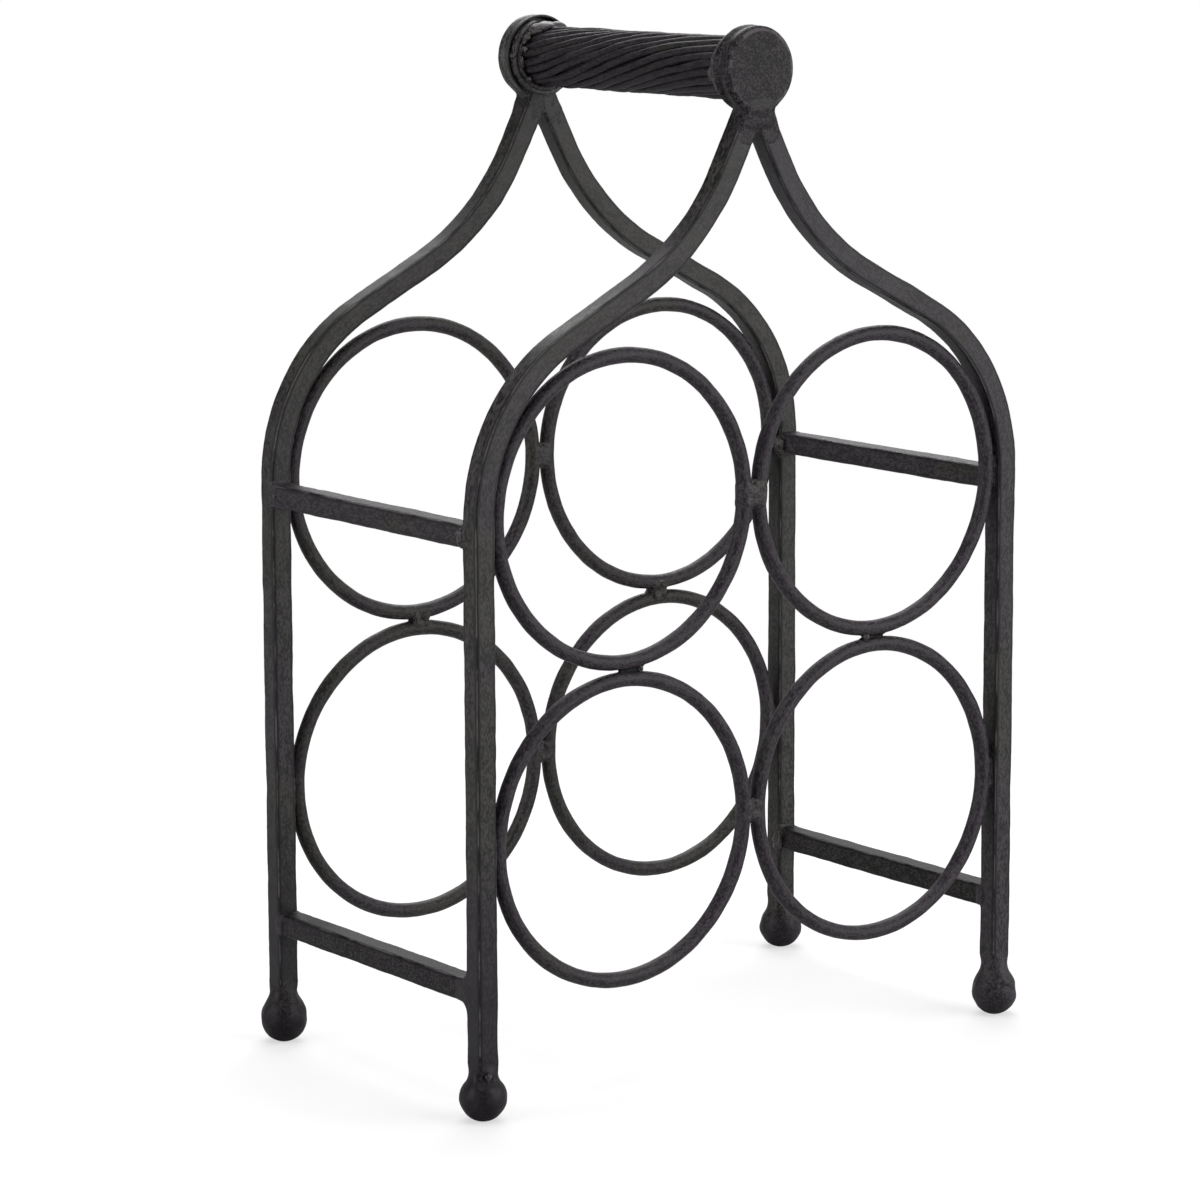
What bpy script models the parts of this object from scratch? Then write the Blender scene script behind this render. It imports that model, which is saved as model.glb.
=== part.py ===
"""Iron rack that holds four bottles lying down.

Two flat frames stand one behind the other. Each is a bottle outline of two square bars, with four
round wire rings set two by two between them. Four cross bars join the frames, ball feet end the
legs, and a handle of twisted wires runs between two end caps at the necks.

Metres, +Z up, +X to the right, front frame towards -Y. The origin is on the floor under the middle.
"""
import math

import bmesh
import bpy
import numpy as np
from mathutils import Matrix, Vector

# Overall size
OVERALL_WIDTH = 0.2413
OVERALL_DEPTH = 0.1397
OVERALL_HEIGHT = 0.3581
# Gap between two pieces that touch on the real rack
SEAT_GAP = 0.0003

# Square bar of the frames and the cross bars
BAR_SIDE = 0.0078
BAR_EDGE_ROUND = 0.0007

# Ball foot
FOOT_BALL_RADIUS = 0.0081
FOOT_FLAT_RADIUS = 0.0022
FOOT_NECK_RADIUS = 0.00475
FOOT_FLARE_RADIUS = 0.005
FOOT_NECK_LENGTH = 0.00525

# Wire rings
RING_WIRE_RADIUS = 0.00265
RING_SIDE_GAP = 0.001
RING_STACK_GAP = 0.0016
RING_FLOOR_CLEARANCE = 0.0364

# Bottle outline above the legs
SHOULDER_SLACK = 0.0070
NECK_LEAN = math.radians(14.3)
NECK_CURVE_SHARE = 0.932

# Cross bars between the front and the back frame
LOWER_CROSS_BAR_HEIGHT = 0.0435
UPPER_CROSS_BAR_DROP = 0.0041

# Twisted handle
STRAND_COUNT = 21
STRAND_RADIUS = 0.0012
STRAND_SPACE = 0.0004
STRAND_TWIST = math.radians(150)
STRAND_FIRST_ANGLE = math.radians(-57)
TWIST_SKEW_SHARE = 1.4
TWIST_EASE_SHARE = 0.6

# Collar round the wires in the mouth of each cap
COLLAR_WALL = 0.0016
COLLAR_REACH = 0.0028
COLLAR_EDGE_ROUND = 0.0008

# End caps of the handle
CAP_PROUD = 0.0012
CAP_WALL = 0.0010
CAP_GROOVE_DEPTH = 0.0005
CAP_FLARE = 0.0010
CAP_EDGE_ROUND = 0.0022
CAP_DEPTH = 0.0078
CAP_DISC_THICKNESS = 0.0030
CAP_GROOVE_SHARE = 0.55

# Welds
RING_WELD_WIDTH = 0.0072
RING_WELD_DEPTH = 0.0066
RING_WELD_HEIGHT = 0.0084
STACK_WELD_WIDTH = 0.0060
STACK_WELD_DEPTH = 0.0060
STACK_WELD_HEIGHT = 0.0066
NECK_WELD_HEIGHT = 0.0084
NECK_WELD_TIP = 0.0002
NECK_WELD_INSET = 0.0006
NECK_WELD_LIMIT_SHARE = 0.9

# Smoothness of the round forms
RING_STEPS = 48
WIRE_STEPS = 8
FOOT_STEPS = 20
FOOT_FLARE_STEPS = 3
FOOT_BALL_STEPS = 4
CAP_STEPS = 36
CAP_EDGE_STEPS = 3
CORE_STEPS = 20
SHOULDER_STEPS = 9
NECK_STEPS = 10
STRAND_STEPS = 11
STRAND_SUM_STEPS = 220
STRAND_BEVEL_RESOLUTION = 2
WELD_STEPS = 12
NECK_WELD_STEPS = 4
MERGE_DISTANCE = 0.00001

# Places that follow from the sizes
HALF_BAR = BAR_SIDE / 2
LEG_X = OVERALL_WIDTH / 2 - FOOT_BALL_RADIUS
LEG_Y = OVERALL_DEPTH / 2 - FOOT_BALL_RADIUS
RING_OUTER_RADIUS = (LEG_X - HALF_BAR - SEAT_GAP - RING_SIDE_GAP / 2) / 2
RING_RADIUS = RING_OUTER_RADIUS - RING_WIRE_RADIUS
RING_X = RING_OUTER_RADIUS + RING_SIDE_GAP / 2
LOWER_RING_HEIGHT = RING_FLOOR_CLEARANCE + RING_OUTER_RADIUS
UPPER_RING_HEIGHT = LOWER_RING_HEIGHT + 2 * RING_OUTER_RADIUS + RING_STACK_GAP
UPPER_CROSS_BAR_HEIGHT = UPPER_RING_HEIGHT - UPPER_CROSS_BAR_DROP
SHOULDER_RADIUS = RING_OUTER_RADIUS + SEAT_GAP + HALF_BAR + SHOULDER_SLACK

# The wires stand side by side on a circle, whose chords are one wire and a space long
STRAND_CIRCLE_RADIUS = (STRAND_RADIUS + STRAND_SPACE / 2) / math.sin(math.pi / STRAND_COUNT)
BUNDLE_RADIUS = STRAND_CIRCLE_RADIUS + STRAND_RADIUS
CORE_RADIUS = STRAND_CIRCLE_RADIUS - STRAND_RADIUS - SEAT_GAP
COLLAR_BORE_RADIUS = BUNDLE_RADIUS + SEAT_GAP
COLLAR_RADIUS = COLLAR_BORE_RADIUS + COLLAR_WALL
CAP_BORE_RADIUS = COLLAR_RADIUS + SEAT_GAP
CAP_GROOVE_RADIUS = CAP_BORE_RADIUS + CAP_WALL
CAP_LIP_RADIUS = CAP_GROOVE_RADIUS + CAP_GROOVE_DEPTH
CAP_MOUTH_RADIUS = CAP_GROOVE_RADIUS + CAP_FLARE
CAP_RADIUS = max(CAP_LIP_RADIUS, CAP_MOUTH_RADIUS)
HANDLE_HEIGHT = OVERALL_HEIGHT - CAP_RADIUS
CAP_FACE_Y = LEG_Y + HALF_BAR + CAP_PROUD
CAP_FLOOR_Y = CAP_FACE_Y - CAP_DISC_THICKNESS
WIRE_END_Y = CAP_FLOOR_Y - SEAT_GAP

# The foot's ball is cut flat below, and its flare touches both the ball and the neck
BALL_HEIGHT = math.sqrt(FOOT_BALL_RADIUS ** 2 - FOOT_FLAT_RADIUS ** 2)
FLARE_X = FOOT_NECK_RADIUS + FOOT_FLARE_RADIUS
FLARE_RISE = math.sqrt((FOOT_BALL_RADIUS + FOOT_FLARE_RADIUS) ** 2 - FLARE_X ** 2)
FOOT_HEIGHT = BALL_HEIGHT + FLARE_RISE + FOOT_NECK_LENGTH

SIDES = (("left", -1), ("right", 1))
FRAMES = (("front", -1), ("back", 1))
ROWS = (("upper", UPPER_RING_HEIGHT), ("lower", LOWER_RING_HEIGHT))


def clear_scene():
    """Remove what an empty start-up scene holds."""
    for obj in list(bpy.data.objects):
        bpy.data.objects.remove(obj, do_unlink=True)


def new_collection(name):
    collection = bpy.data.collections.new(name)
    bpy.context.scene.collection.children.link(collection)
    return collection


def new_finish(name, colour, roughness):
    """Painted iron: a dark dielectric coat, a little lighter where it is rubbed."""
    material = bpy.data.materials.new(name)
    material.use_nodes = True
    shader = material.node_tree.nodes["Principled BSDF"]
    shader.inputs["Base Color"].default_value = (*colour, 1.0)
    shader.inputs["Roughness"].default_value = roughness
    shader.inputs["Metallic"].default_value = 0.0
    return material


def add_piece(name, data, finish, location=(0, 0, 0), rotation=(0, 0, 0)):
    """Put a mesh or a curve in the rack under its own name."""
    piece = bpy.data.objects.new(name, data)
    piece.location = location
    piece.rotation_euler = rotation
    if not data.materials:
        data.materials.append(finish)
    rack.objects.link(piece)
    return piece


def add_guide(name, data, location=(0, 0, 0), rotation=(0, 0, 0)):
    """A cutter or a profile: shown as wire and never rendered."""
    guide = bpy.data.objects.new(name, data)
    guide.location = location
    guide.rotation_euler = rotation
    guide.hide_render = True
    guide.display_type = "WIRE"
    guides.objects.link(guide)
    return guide


def poly_curve(name, points, dimensions="3D", closed=False):
    """A curve of straight steps through the given points."""
    curve = bpy.data.curves.new(name, "CURVE")
    curve.dimensions = dimensions
    spline = curve.splines.new("POLY")
    spline.points.add(len(points) - 1)
    for point, place in zip(spline.points, points):
        point.co = (*place, 1.0)
    spline.use_cyclic_u = closed
    return curve


def curve_to_mesh(curve_object, name):
    """The curve's surface as one welded mesh; the curve itself is removed."""
    depsgraph = bpy.context.evaluated_depsgraph_get()
    mesh = bpy.data.meshes.new_from_object(curve_object.evaluated_get(depsgraph))
    mesh.name = name
    mesh.transform(curve_object.matrix_world)
    bpy.data.objects.remove(curve_object, do_unlink=True)
    shape = bmesh.new()
    shape.from_mesh(mesh)
    bmesh.ops.remove_doubles(shape, verts=shape.verts, dist=MERGE_DISTANCE)
    bmesh.ops.recalc_face_normals(shape, faces=shape.faces)
    shape.to_mesh(mesh)
    shape.free()
    return mesh


def turned_mesh(name, profile):
    """An outline in the XZ plane, kept as edges for a Screw modifier to turn."""
    mesh = bpy.data.meshes.new(name)
    closed = profile[0][0] > 0
    count = len(profile)
    edges = [(i, (i + 1) % count) for i in range(count if closed else count - 1)]
    mesh.from_pydata([(radius, 0, height) for radius, height in profile], edges, [])
    return mesh


def add_turning(piece, steps):
    """Turn the outline once round its Z axis."""
    screw = piece.modifiers.new("turn", "SCREW")
    screw.steps = steps
    screw.render_steps = steps
    screw.use_merge_vertices = True
    screw.merge_threshold = MERGE_DISTANCE
    screw.use_smooth_shade = True


def add_cut(piece, cutter):
    """Take the cutter's volume out of the piece."""
    cut = piece.modifiers.new("cut", "BOOLEAN")
    cut.operation = "DIFFERENCE"
    cut.solver = "EXACT"
    cut.object = cutter


def cylinder_mesh(name, radius, length, steps):
    """A closed cylinder along Z, centred on its own origin."""
    mesh = bpy.data.meshes.new(name)
    shape = bmesh.new()
    bmesh.ops.create_cone(shape, cap_ends=True, segments=steps, radius1=radius, radius2=radius,
                          depth=length)
    shape.to_mesh(mesh)
    shape.free()
    return mesh


def arc(centre, radius, start, end, steps):
    """Points on an arc, from the start angle to the end angle, both included."""
    return [(centre[0] + radius * math.cos(angle), centre[1] + radius * math.sin(angle))
            for angle in np.linspace(start, end, steps + 1)]


def neck_curve():
    """Radius of the hollow curve under the cap and its centre, as (x, z).

    The bar's inner face meets the middle plane at the foot of the cap, leaning by NECK_LEAN. Its
    curve there is the largest that still clears the shoulder's curve, times a share, so that a
    straight slope is left between the two. The largest one touches the shoulder: the distance
    between the centres is then the sum of the radii, which gives the radius below.
    """
    tip = Vector((SEAT_GAP, HANDLE_HEIGHT - CAP_RADIUS - SEAT_GAP))
    lean = Vector((math.cos(NECK_LEAN), math.sin(NECK_LEAN)))
    way = Vector((LEG_X - SHOULDER_RADIUS, UPPER_RING_HEIGHT)) - tip
    inner = SHOULDER_RADIUS - HALF_BAR
    largest = (way.length_squared - inner ** 2) / (2 * (inner + way.dot(lean)))
    reach = NECK_CURVE_SHARE * largest
    return reach - HALF_BAR, tip + lean * reach


def frame_bar_path():
    """Centre line of the right-hand bar, from the foot up to the neck, as (x, z) points.

    The shoulder turns inwards until its tangent also touches the neck's curve, which bends the
    other way: the turn is the direction between the centres, less the angle whose cosine is the
    sum of the radii over the distance between them.
    """
    radius, centre = neck_curve()
    shoulder = Vector((LEG_X - SHOULDER_RADIUS, UPPER_RING_HEIGHT))
    between = centre - shoulder
    turn = (math.atan2(between.y, between.x)
            - math.acos((SHOULDER_RADIUS + radius) / between.length))
    points = [(LEG_X, FOOT_HEIGHT + SEAT_GAP)]
    points += arc(shoulder, SHOULDER_RADIUS, 0, turn, SHOULDER_STEPS)
    top = HANDLE_HEIGHT - CAP_RADIUS + HALF_BAR
    end = math.pi + math.asin((centre.y - top) / radius)
    points += arc(centre, radius, turn + math.pi, end, NECK_STEPS)
    return points


def bar_profile():
    """The bar's section: a square whose corners are cut off a little."""
    flat = HALF_BAR - BAR_EDGE_ROUND
    corners = [(HALF_BAR, flat), (flat, HALF_BAR)]
    return [(x * c - y * s, x * s + y * c)
            for c, s in ((1, 0), (0, 1), (-1, 0), (0, -1)) for x, y in corners]


def make_frame_bars(finish):
    """Four bars, each a leg, a shoulder and half a neck, hollowed at the top to fit the cap."""
    path = frame_bar_path()
    section = [(x, y, 0) for x, y in bar_profile()]
    profile = add_guide("bar_section", poly_curve("bar_section", section, "2D", closed=True))
    cap_space = add_guide(
        "cap_space",
        cylinder_mesh("cap_space", CAP_RADIUS + SEAT_GAP, OVERALL_DEPTH, CAP_STEPS),
        location=(0, 0, HANDLE_HEIGHT), rotation=(math.pi / 2, 0, 0))
    for frame_name, front in FRAMES:
        for side_name, side in SIDES:
            name = f"frame_bar_{frame_name}_{side_name}"
            line = poly_curve(name, [(side * x, z, 0) for x, z in path], "2D")
            line.bevel_mode = "OBJECT"
            line.bevel_object = profile
            line.use_fill_caps = True
            guide = add_guide(name + "_line", line, (0, front * LEG_Y, 0), (math.pi / 2, 0, 0))
            bpy.context.view_layer.update()
            mesh = curve_to_mesh(guide, name)
            mesh.materials.clear()
            bar = add_piece(name, mesh, finish)
            add_cut(bar, cap_space)


def foot_profile():
    """Outline of a foot: a round neck that flares into a ball, flat where it stands."""
    lean = math.atan2(FLARE_RISE, FLARE_X)
    down = math.atan2(-BALL_HEIGHT, FOOT_FLAT_RADIUS)
    points = [(0, FOOT_HEIGHT), (FOOT_NECK_RADIUS, FOOT_HEIGHT)]
    points += arc((FLARE_X, BALL_HEIGHT + FLARE_RISE), FOOT_FLARE_RADIUS, math.pi, math.pi + lean,
                  FOOT_FLARE_STEPS)
    points += arc((0, BALL_HEIGHT), FOOT_BALL_RADIUS, lean, 0, FOOT_BALL_STEPS)[1:]
    points += arc((0, BALL_HEIGHT), FOOT_BALL_RADIUS, 0, down, FOOT_BALL_STEPS)[1:]
    return points + [(0, 0)]


def make_feet(finish):
    mesh = turned_mesh("ball_foot", foot_profile())
    for frame_name, front in FRAMES:
        for side_name, side in SIDES:
            foot = add_piece(f"foot_{frame_name}_{side_name}", mesh, finish,
                             (side * LEG_X, front * LEG_Y, 0))
            add_turning(foot, FOOT_STEPS)


def ring_mesh(name, wire_radius):
    """A wire bent into a ring round its own Z axis."""
    bpy.ops.mesh.primitive_torus_add(major_segments=RING_STEPS, minor_segments=WIRE_STEPS,
                                     major_radius=RING_RADIUS, minor_radius=wire_radius)
    pattern = bpy.context.object
    mesh = pattern.data
    mesh.name = name
    mesh.shade_smooth()
    bpy.data.objects.remove(pattern, do_unlink=True)
    return mesh


def make_rings(finish):
    """Eight wire rings, two by two in each frame."""
    mesh = ring_mesh("wire_ring", RING_WIRE_RADIUS)
    for frame_name, front in FRAMES:
        for row_name, height in ROWS:
            for side_name, side in SIDES:
                add_piece(f"ring_{frame_name}_{row_name}_{side_name}", mesh, finish,
                          (side * RING_X, front * LEG_Y, height), (math.pi / 2, 0, 0))


def make_cross_bars(finish):
    """Four square bars between the legs, flush with their outer and inner faces."""
    length = 2 * (LEG_Y - HALF_BAR - SEAT_GAP)
    mesh = bpy.data.meshes.new("cross_bar")
    shape = bmesh.new()
    bmesh.ops.create_cube(shape, size=1)
    bmesh.ops.scale(shape, vec=(BAR_SIDE, length, BAR_SIDE), verts=shape.verts)
    long_edges = [edge for edge in shape.edges
                  if abs(edge.verts[0].co.y - edge.verts[1].co.y) > BAR_SIDE]
    bmesh.ops.bevel(shape, geom=long_edges, offset=BAR_EDGE_ROUND, segments=1, affect="EDGES")
    shape.to_mesh(mesh)
    shape.free()
    for side_name, side in SIDES:
        for row_name, height in (("upper", UPPER_CROSS_BAR_HEIGHT),
                                 ("lower", LOWER_CROSS_BAR_HEIGHT)):
            add_piece(f"cross_bar_{side_name}_{row_name}", mesh, finish, (side * LEG_X, 0, height))


def cap_profile():
    """Outline of a cap, face at zero and mouth below it: lip, groove, flared mouth, bore."""
    edge = (CAP_LIP_RADIUS - CAP_EDGE_ROUND, -CAP_EDGE_ROUND)
    groove = -CAP_DEPTH * CAP_GROOVE_SHARE
    points = [(0, 0)]
    points += arc(edge, CAP_EDGE_ROUND, math.pi / 2, 0, CAP_EDGE_STEPS)
    points += [(CAP_GROOVE_RADIUS, groove), (CAP_MOUTH_RADIUS, -CAP_DEPTH)]
    return points + [(CAP_BORE_RADIUS, -CAP_DEPTH), (CAP_BORE_RADIUS, -CAP_DISC_THICKNESS),
                     (0, -CAP_DISC_THICKNESS)]


def make_end_caps(finish):
    """Two round caps, one on each neck, open towards the handle."""
    mesh = turned_mesh("end_cap", cap_profile())
    for frame_name, front in FRAMES:
        cap = add_piece(f"end_cap_{frame_name}", mesh, finish,
                        (0, front * CAP_FACE_Y, HANDLE_HEIGHT), (-front * math.pi / 2, 0, 0))
        add_turning(cap, CAP_STEPS)


def collar_profile():
    """Outline of a collar: a thick ring that fills the cap's mouth round the wires."""
    top = -CAP_DISC_THICKNESS - SEAT_GAP
    bottom = -CAP_DEPTH - COLLAR_REACH
    rounding = min(COLLAR_EDGE_ROUND, COLLAR_WALL / 2)
    return [(COLLAR_RADIUS, top), (COLLAR_RADIUS, bottom + rounding),
            (COLLAR_RADIUS - rounding, bottom), (COLLAR_BORE_RADIUS, bottom),
            (COLLAR_BORE_RADIUS, top)]


def make_collars(finish):
    mesh = turned_mesh("collar", collar_profile())
    for frame_name, front in FRAMES:
        collar = add_piece(f"collar_{frame_name}", mesh, finish,
                           (0, front * CAP_FACE_Y, HANDLE_HEIGHT), (-front * math.pi / 2, 0, 0))
        add_turning(collar, CAP_STEPS)


def make_handle_core(finish):
    """The rod that the wires are wound on, from cap to cap."""
    mesh = cylinder_mesh("handle_core", CORE_RADIUS, 2 * WIRE_END_Y, CORE_STEPS)
    mesh.shade_smooth()
    mesh.set_sharp_from_angle(angle=math.pi / 4)
    add_piece("handle_core", mesh, finish, (0, 0, HANDLE_HEIGHT), (math.pi / 2, 0, 0))


def strand_turns():
    """How far a wire has turned at each station along the handle.

    The wires leave the caps almost straight and turn fastest past the middle, so the rate of
    turn is the sine of the skewed station, raised to a power that eases it at both ends. The
    turn is the running sum of that rate.
    """
    stations = np.linspace(0, 1, STRAND_STEPS)
    fine = np.linspace(0, 1, STRAND_SUM_STEPS)
    rate = np.sin(math.pi * fine ** TWIST_SKEW_SHARE).clip(0) ** TWIST_EASE_SHARE
    turned = np.concatenate(([0], np.cumsum((rate[1:] + rate[:-1]) / 2)))
    return stations, np.interp(stations, fine, turned / turned[-1]) * STRAND_TWIST


def make_strands(finish):
    """The wires of the handle, laid side by side and twisted together."""
    stations, turns = strand_turns()
    along = (2 * stations - 1) * WIRE_END_Y
    for index in range(STRAND_COUNT):
        angles = STRAND_FIRST_ANGLE + turns + 2 * math.pi * index / STRAND_COUNT
        points = np.column_stack((STRAND_CIRCLE_RADIUS * np.cos(angles), along,
                                  STRAND_CIRCLE_RADIUS * np.sin(angles)))
        name = f"handle_strand_{index + 1:02d}"
        wire = poly_curve(name, points)
        wire.bevel_depth = STRAND_RADIUS
        wire.bevel_resolution = STRAND_BEVEL_RESOLUTION
        wire.use_fill_caps = True
        add_piece(name, wire, finish, (0, 0, HANDLE_HEIGHT))


def weld_mesh(name, width, depth, height):
    """A rounded lump of weld metal of the given size."""
    mesh = bpy.data.meshes.new(name)
    shape = bmesh.new()
    bmesh.ops.create_uvsphere(shape, u_segments=WELD_STEPS, v_segments=WELD_STEPS // 2, radius=1)
    bmesh.ops.scale(shape, vec=(width / 2, depth / 2, height / 2), verts=shape.verts)
    shape.to_mesh(mesh)
    shape.free()
    mesh.shade_smooth()
    return mesh


def make_ring_welds(finish):
    """A weld where two rings of a frame meet: two beside each other, two above each other.

    Each lump is hollowed to fit the two wires that it joins.
    """
    side_mesh = weld_mesh("side_weld", RING_WELD_WIDTH, RING_WELD_DEPTH, RING_WELD_HEIGHT)
    stack_mesh = weld_mesh("stack_weld", STACK_WELD_WIDTH, STACK_WELD_DEPTH, STACK_WELD_HEIGHT)
    wire_space = ring_mesh("wire_space", RING_WIRE_RADIUS + SEAT_GAP)
    stack_height = (UPPER_RING_HEIGHT + LOWER_RING_HEIGHT) / 2
    for frame_name, front in FRAMES:
        spaces = {(row_name, side_name): add_guide(
            f"wire_space_{frame_name}_{row_name}_{side_name}", wire_space,
            (side * RING_X, front * LEG_Y, height), (math.pi / 2, 0, 0))
            for row_name, height in ROWS for side_name, side in SIDES}
        for row_name, height in ROWS:
            weld = add_piece(f"ring_weld_{frame_name}_{row_name}", side_mesh, finish,
                             (0, front * LEG_Y, height))
            for side_name, _ in SIDES:
                add_cut(weld, spaces[row_name, side_name])
        for side_name, side in SIDES:
            weld = add_piece(f"ring_weld_{frame_name}_{side_name}", stack_mesh, finish,
                             (side * RING_X, front * LEG_Y, stack_height))
            for row_name, _ in ROWS:
                add_cut(weld, spaces[row_name, side_name])


def make_neck_welds(finish):
    """The weld that fills the sharp top of the V between the two bars of a frame."""
    radius, centre = neck_curve()
    reach = radius + HALF_BAR + SEAT_GAP
    top = centre.y - math.sqrt(reach ** 2 - (centre.x - NECK_WELD_TIP) ** 2)
    bottom = max(top - NECK_WELD_HEIGHT, centre.y - NECK_WELD_LIMIT_SHARE * reach)
    edge = [(centre.x - math.sqrt(reach ** 2 - (centre.y - height) ** 2), height)
            for height in np.linspace(bottom, top, NECK_WELD_STEPS + 1)]
    outline = [(x, z, 0) for x, z in edge] + [(-x, z, 0) for x, z in reversed(edge)]
    for frame_name, front in FRAMES:
        name = f"neck_weld_{frame_name}"
        plate = poly_curve(name, outline, "2D", closed=True)
        plate.fill_mode = "BOTH"
        plate.extrude = HALF_BAR - NECK_WELD_INSET
        add_piece(name, plate, finish, (0, front * LEG_Y, 0), (math.pi / 2, 0, 0))


clear_scene()
rack = new_collection("bottle_rack")
guides = new_collection("rack_guides")
bar_paint = new_finish("bar_paint", (0.034, 0.031, 0.034), 0.42)
ring_paint = new_finish("ring_paint", (0.040, 0.037, 0.038), 0.40)
foot_paint = new_finish("foot_paint", (0.034, 0.031, 0.034), 0.38)
cap_paint = new_finish("cap_paint", (0.040, 0.036, 0.038), 0.36)
wire_paint = new_finish("wire_paint", (0.036, 0.033, 0.036), 0.38)
weld_paint = new_finish("weld_paint", (0.045, 0.043, 0.042), 0.34)

make_frame_bars(bar_paint)
make_feet(foot_paint)
make_rings(ring_paint)
make_cross_bars(bar_paint)
make_end_caps(cap_paint)
make_collars(cap_paint)
make_handle_core(wire_paint)
make_strands(wire_paint)
make_ring_welds(weld_paint)
make_neck_welds(weld_paint)
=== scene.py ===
# %% [markdown]
# # An iron rack for four bottles
#
# A smith bends two square bars into the outline of a bottle, does the same again for the back, and
# joins the two outlines with short bars. Round wire rings carry the bottles, and a handle of
# twisted wires runs between two caps at the necks. All of it is welded, so nothing moves.
#
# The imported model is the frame: it gives every piece its size and place. This script makes each
# piece again on top of it, as a smooth and slightly uneven painted surface.
# %% Load the frame
import math

import bmesh
import bpy
import numpy as np
from mathutils import Matrix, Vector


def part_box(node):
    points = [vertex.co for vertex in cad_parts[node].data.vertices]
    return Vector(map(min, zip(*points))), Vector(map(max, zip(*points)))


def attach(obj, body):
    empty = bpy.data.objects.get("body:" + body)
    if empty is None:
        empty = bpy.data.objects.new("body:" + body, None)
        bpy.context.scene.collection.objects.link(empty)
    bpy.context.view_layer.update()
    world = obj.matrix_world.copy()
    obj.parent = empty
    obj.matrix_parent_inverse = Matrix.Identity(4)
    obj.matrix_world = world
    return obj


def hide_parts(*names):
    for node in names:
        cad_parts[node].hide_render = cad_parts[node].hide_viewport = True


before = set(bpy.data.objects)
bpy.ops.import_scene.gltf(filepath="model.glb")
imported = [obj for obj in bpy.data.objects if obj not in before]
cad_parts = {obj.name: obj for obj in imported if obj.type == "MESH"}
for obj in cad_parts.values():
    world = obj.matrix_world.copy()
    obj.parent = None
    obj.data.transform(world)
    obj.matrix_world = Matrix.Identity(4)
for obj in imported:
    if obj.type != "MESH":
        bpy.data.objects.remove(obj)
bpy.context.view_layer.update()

MM = 0.001
print("nodes in the frame:", len(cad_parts))

# %% [markdown]
# ## Camera
#
# The camera stands where the photographer stood: to the left of the rack, a little above its
# middle, and far away, so that the front and the back frame look almost the same size. The view
# was found by matching the rings, the feet and the front cap. A camera looks along its own -Z, so
# its matrix has the directions right, up and back as columns.
# %% Set the camera
VIEW_AZIMUTH = math.radians(-36.295)
VIEW_PITCH = math.radians(9.724)
VIEW_ROLL = math.radians(-0.193)
VIEW_DISTANCE = 1.526
AIM_SIDE = -14.853 * MM
AIM_HEIGHT = 154.98 * MM
PHOTO_PIXELS = 1200
FOCAL_PIXELS = 4328.8
SENSOR_WIDTH = 36.0


def set_camera():
    """Aim at a point on the rack's middle axis, moved sideways, from VIEW_DISTANCE away."""
    side, front = math.cos(VIEW_AZIMUTH), math.sin(VIEW_AZIMUTH)
    back = np.array([front * math.cos(VIEW_PITCH), -side * math.cos(VIEW_PITCH),
                     math.sin(VIEW_PITCH)])
    right = np.array([side, front, 0.0])
    up = np.cross(back, right)
    roll_cos, roll_sin = math.cos(VIEW_ROLL), math.sin(VIEW_ROLL)
    right, up = roll_cos * right + roll_sin * up, -roll_sin * right + roll_cos * up
    aim = np.array([AIM_SIDE * side, AIM_SIDE * front, AIM_HEIGHT])
    matrix = np.eye(4)
    matrix[:3, :] = np.column_stack((right, up, back, aim + back * VIEW_DISTANCE))
    lens = bpy.data.cameras.new("photo_view")
    lens.sensor_width = SENSOR_WIDTH
    lens.lens = FOCAL_PIXELS / PHOTO_PIXELS * SENSOR_WIDTH
    camera = bpy.data.objects.new("photo_view", lens)
    camera.matrix_world = Matrix(matrix.tolist())
    bpy.context.scene.collection.objects.link(camera)
    bpy.context.scene.camera = camera
    return camera


camera = set_camera()
print("lens, mm:", round(camera.data.lens, 1))

# %% [markdown]
# ## Sizes from the frame
#
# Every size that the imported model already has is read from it, node by node. Only what a box
# can't tell is written here, such as how the bar's path bends. Each kind of piece has a seed of
# its own for its random numbers, so that a change to one leaves the others as they are.
# %% Read the sizes
def node_box(name):
    """Lowest and highest corner of a node, as arrays."""
    low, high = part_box(name)
    return np.array(low), np.array(high)


bar_low, bar_high = node_box("frame_bar_front_right")
ring_low, ring_high = node_box("ring_front_upper_right")
lower_low, lower_high = node_box("ring_front_lower_right")
cap_low, cap_high = node_box("end_cap_front")
foot_low, foot_high = node_box("foot_front_right")

HALF_BAR = (bar_high[1] - bar_low[1]) / 2
LEG_X = (foot_low[0] + foot_high[0]) / 2
LEG_Y = -(bar_low[1] + bar_high[1]) / 2
RING_X = (ring_low[0] + ring_high[0]) / 2
UPPER_RING_Z = (ring_low[2] + ring_high[2]) / 2
LOWER_RING_Z = (lower_low[2] + lower_high[2]) / 2
WIRE_RADIUS = (ring_high[1] - ring_low[1]) / 2
RING_OUTER_RADIUS = (ring_high[2] - ring_low[2]) / 2
RING_RADIUS = RING_OUTER_RADIUS - WIRE_RADIUS
CAP_RADIUS = (cap_high[2] - cap_low[2]) / 2
HANDLE_Z = (cap_high[2] + cap_low[2]) / 2
CAP_FACE_Y = -cap_low[1]
CAP_DEPTH = cap_high[1] - cap_low[1]
BALL_RADIUS = (foot_high[0] - foot_low[0]) / 2
FOOT_TOP = foot_high[2]
SEAT_GAP = LEG_X - HALF_BAR - ring_high[0]

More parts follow.
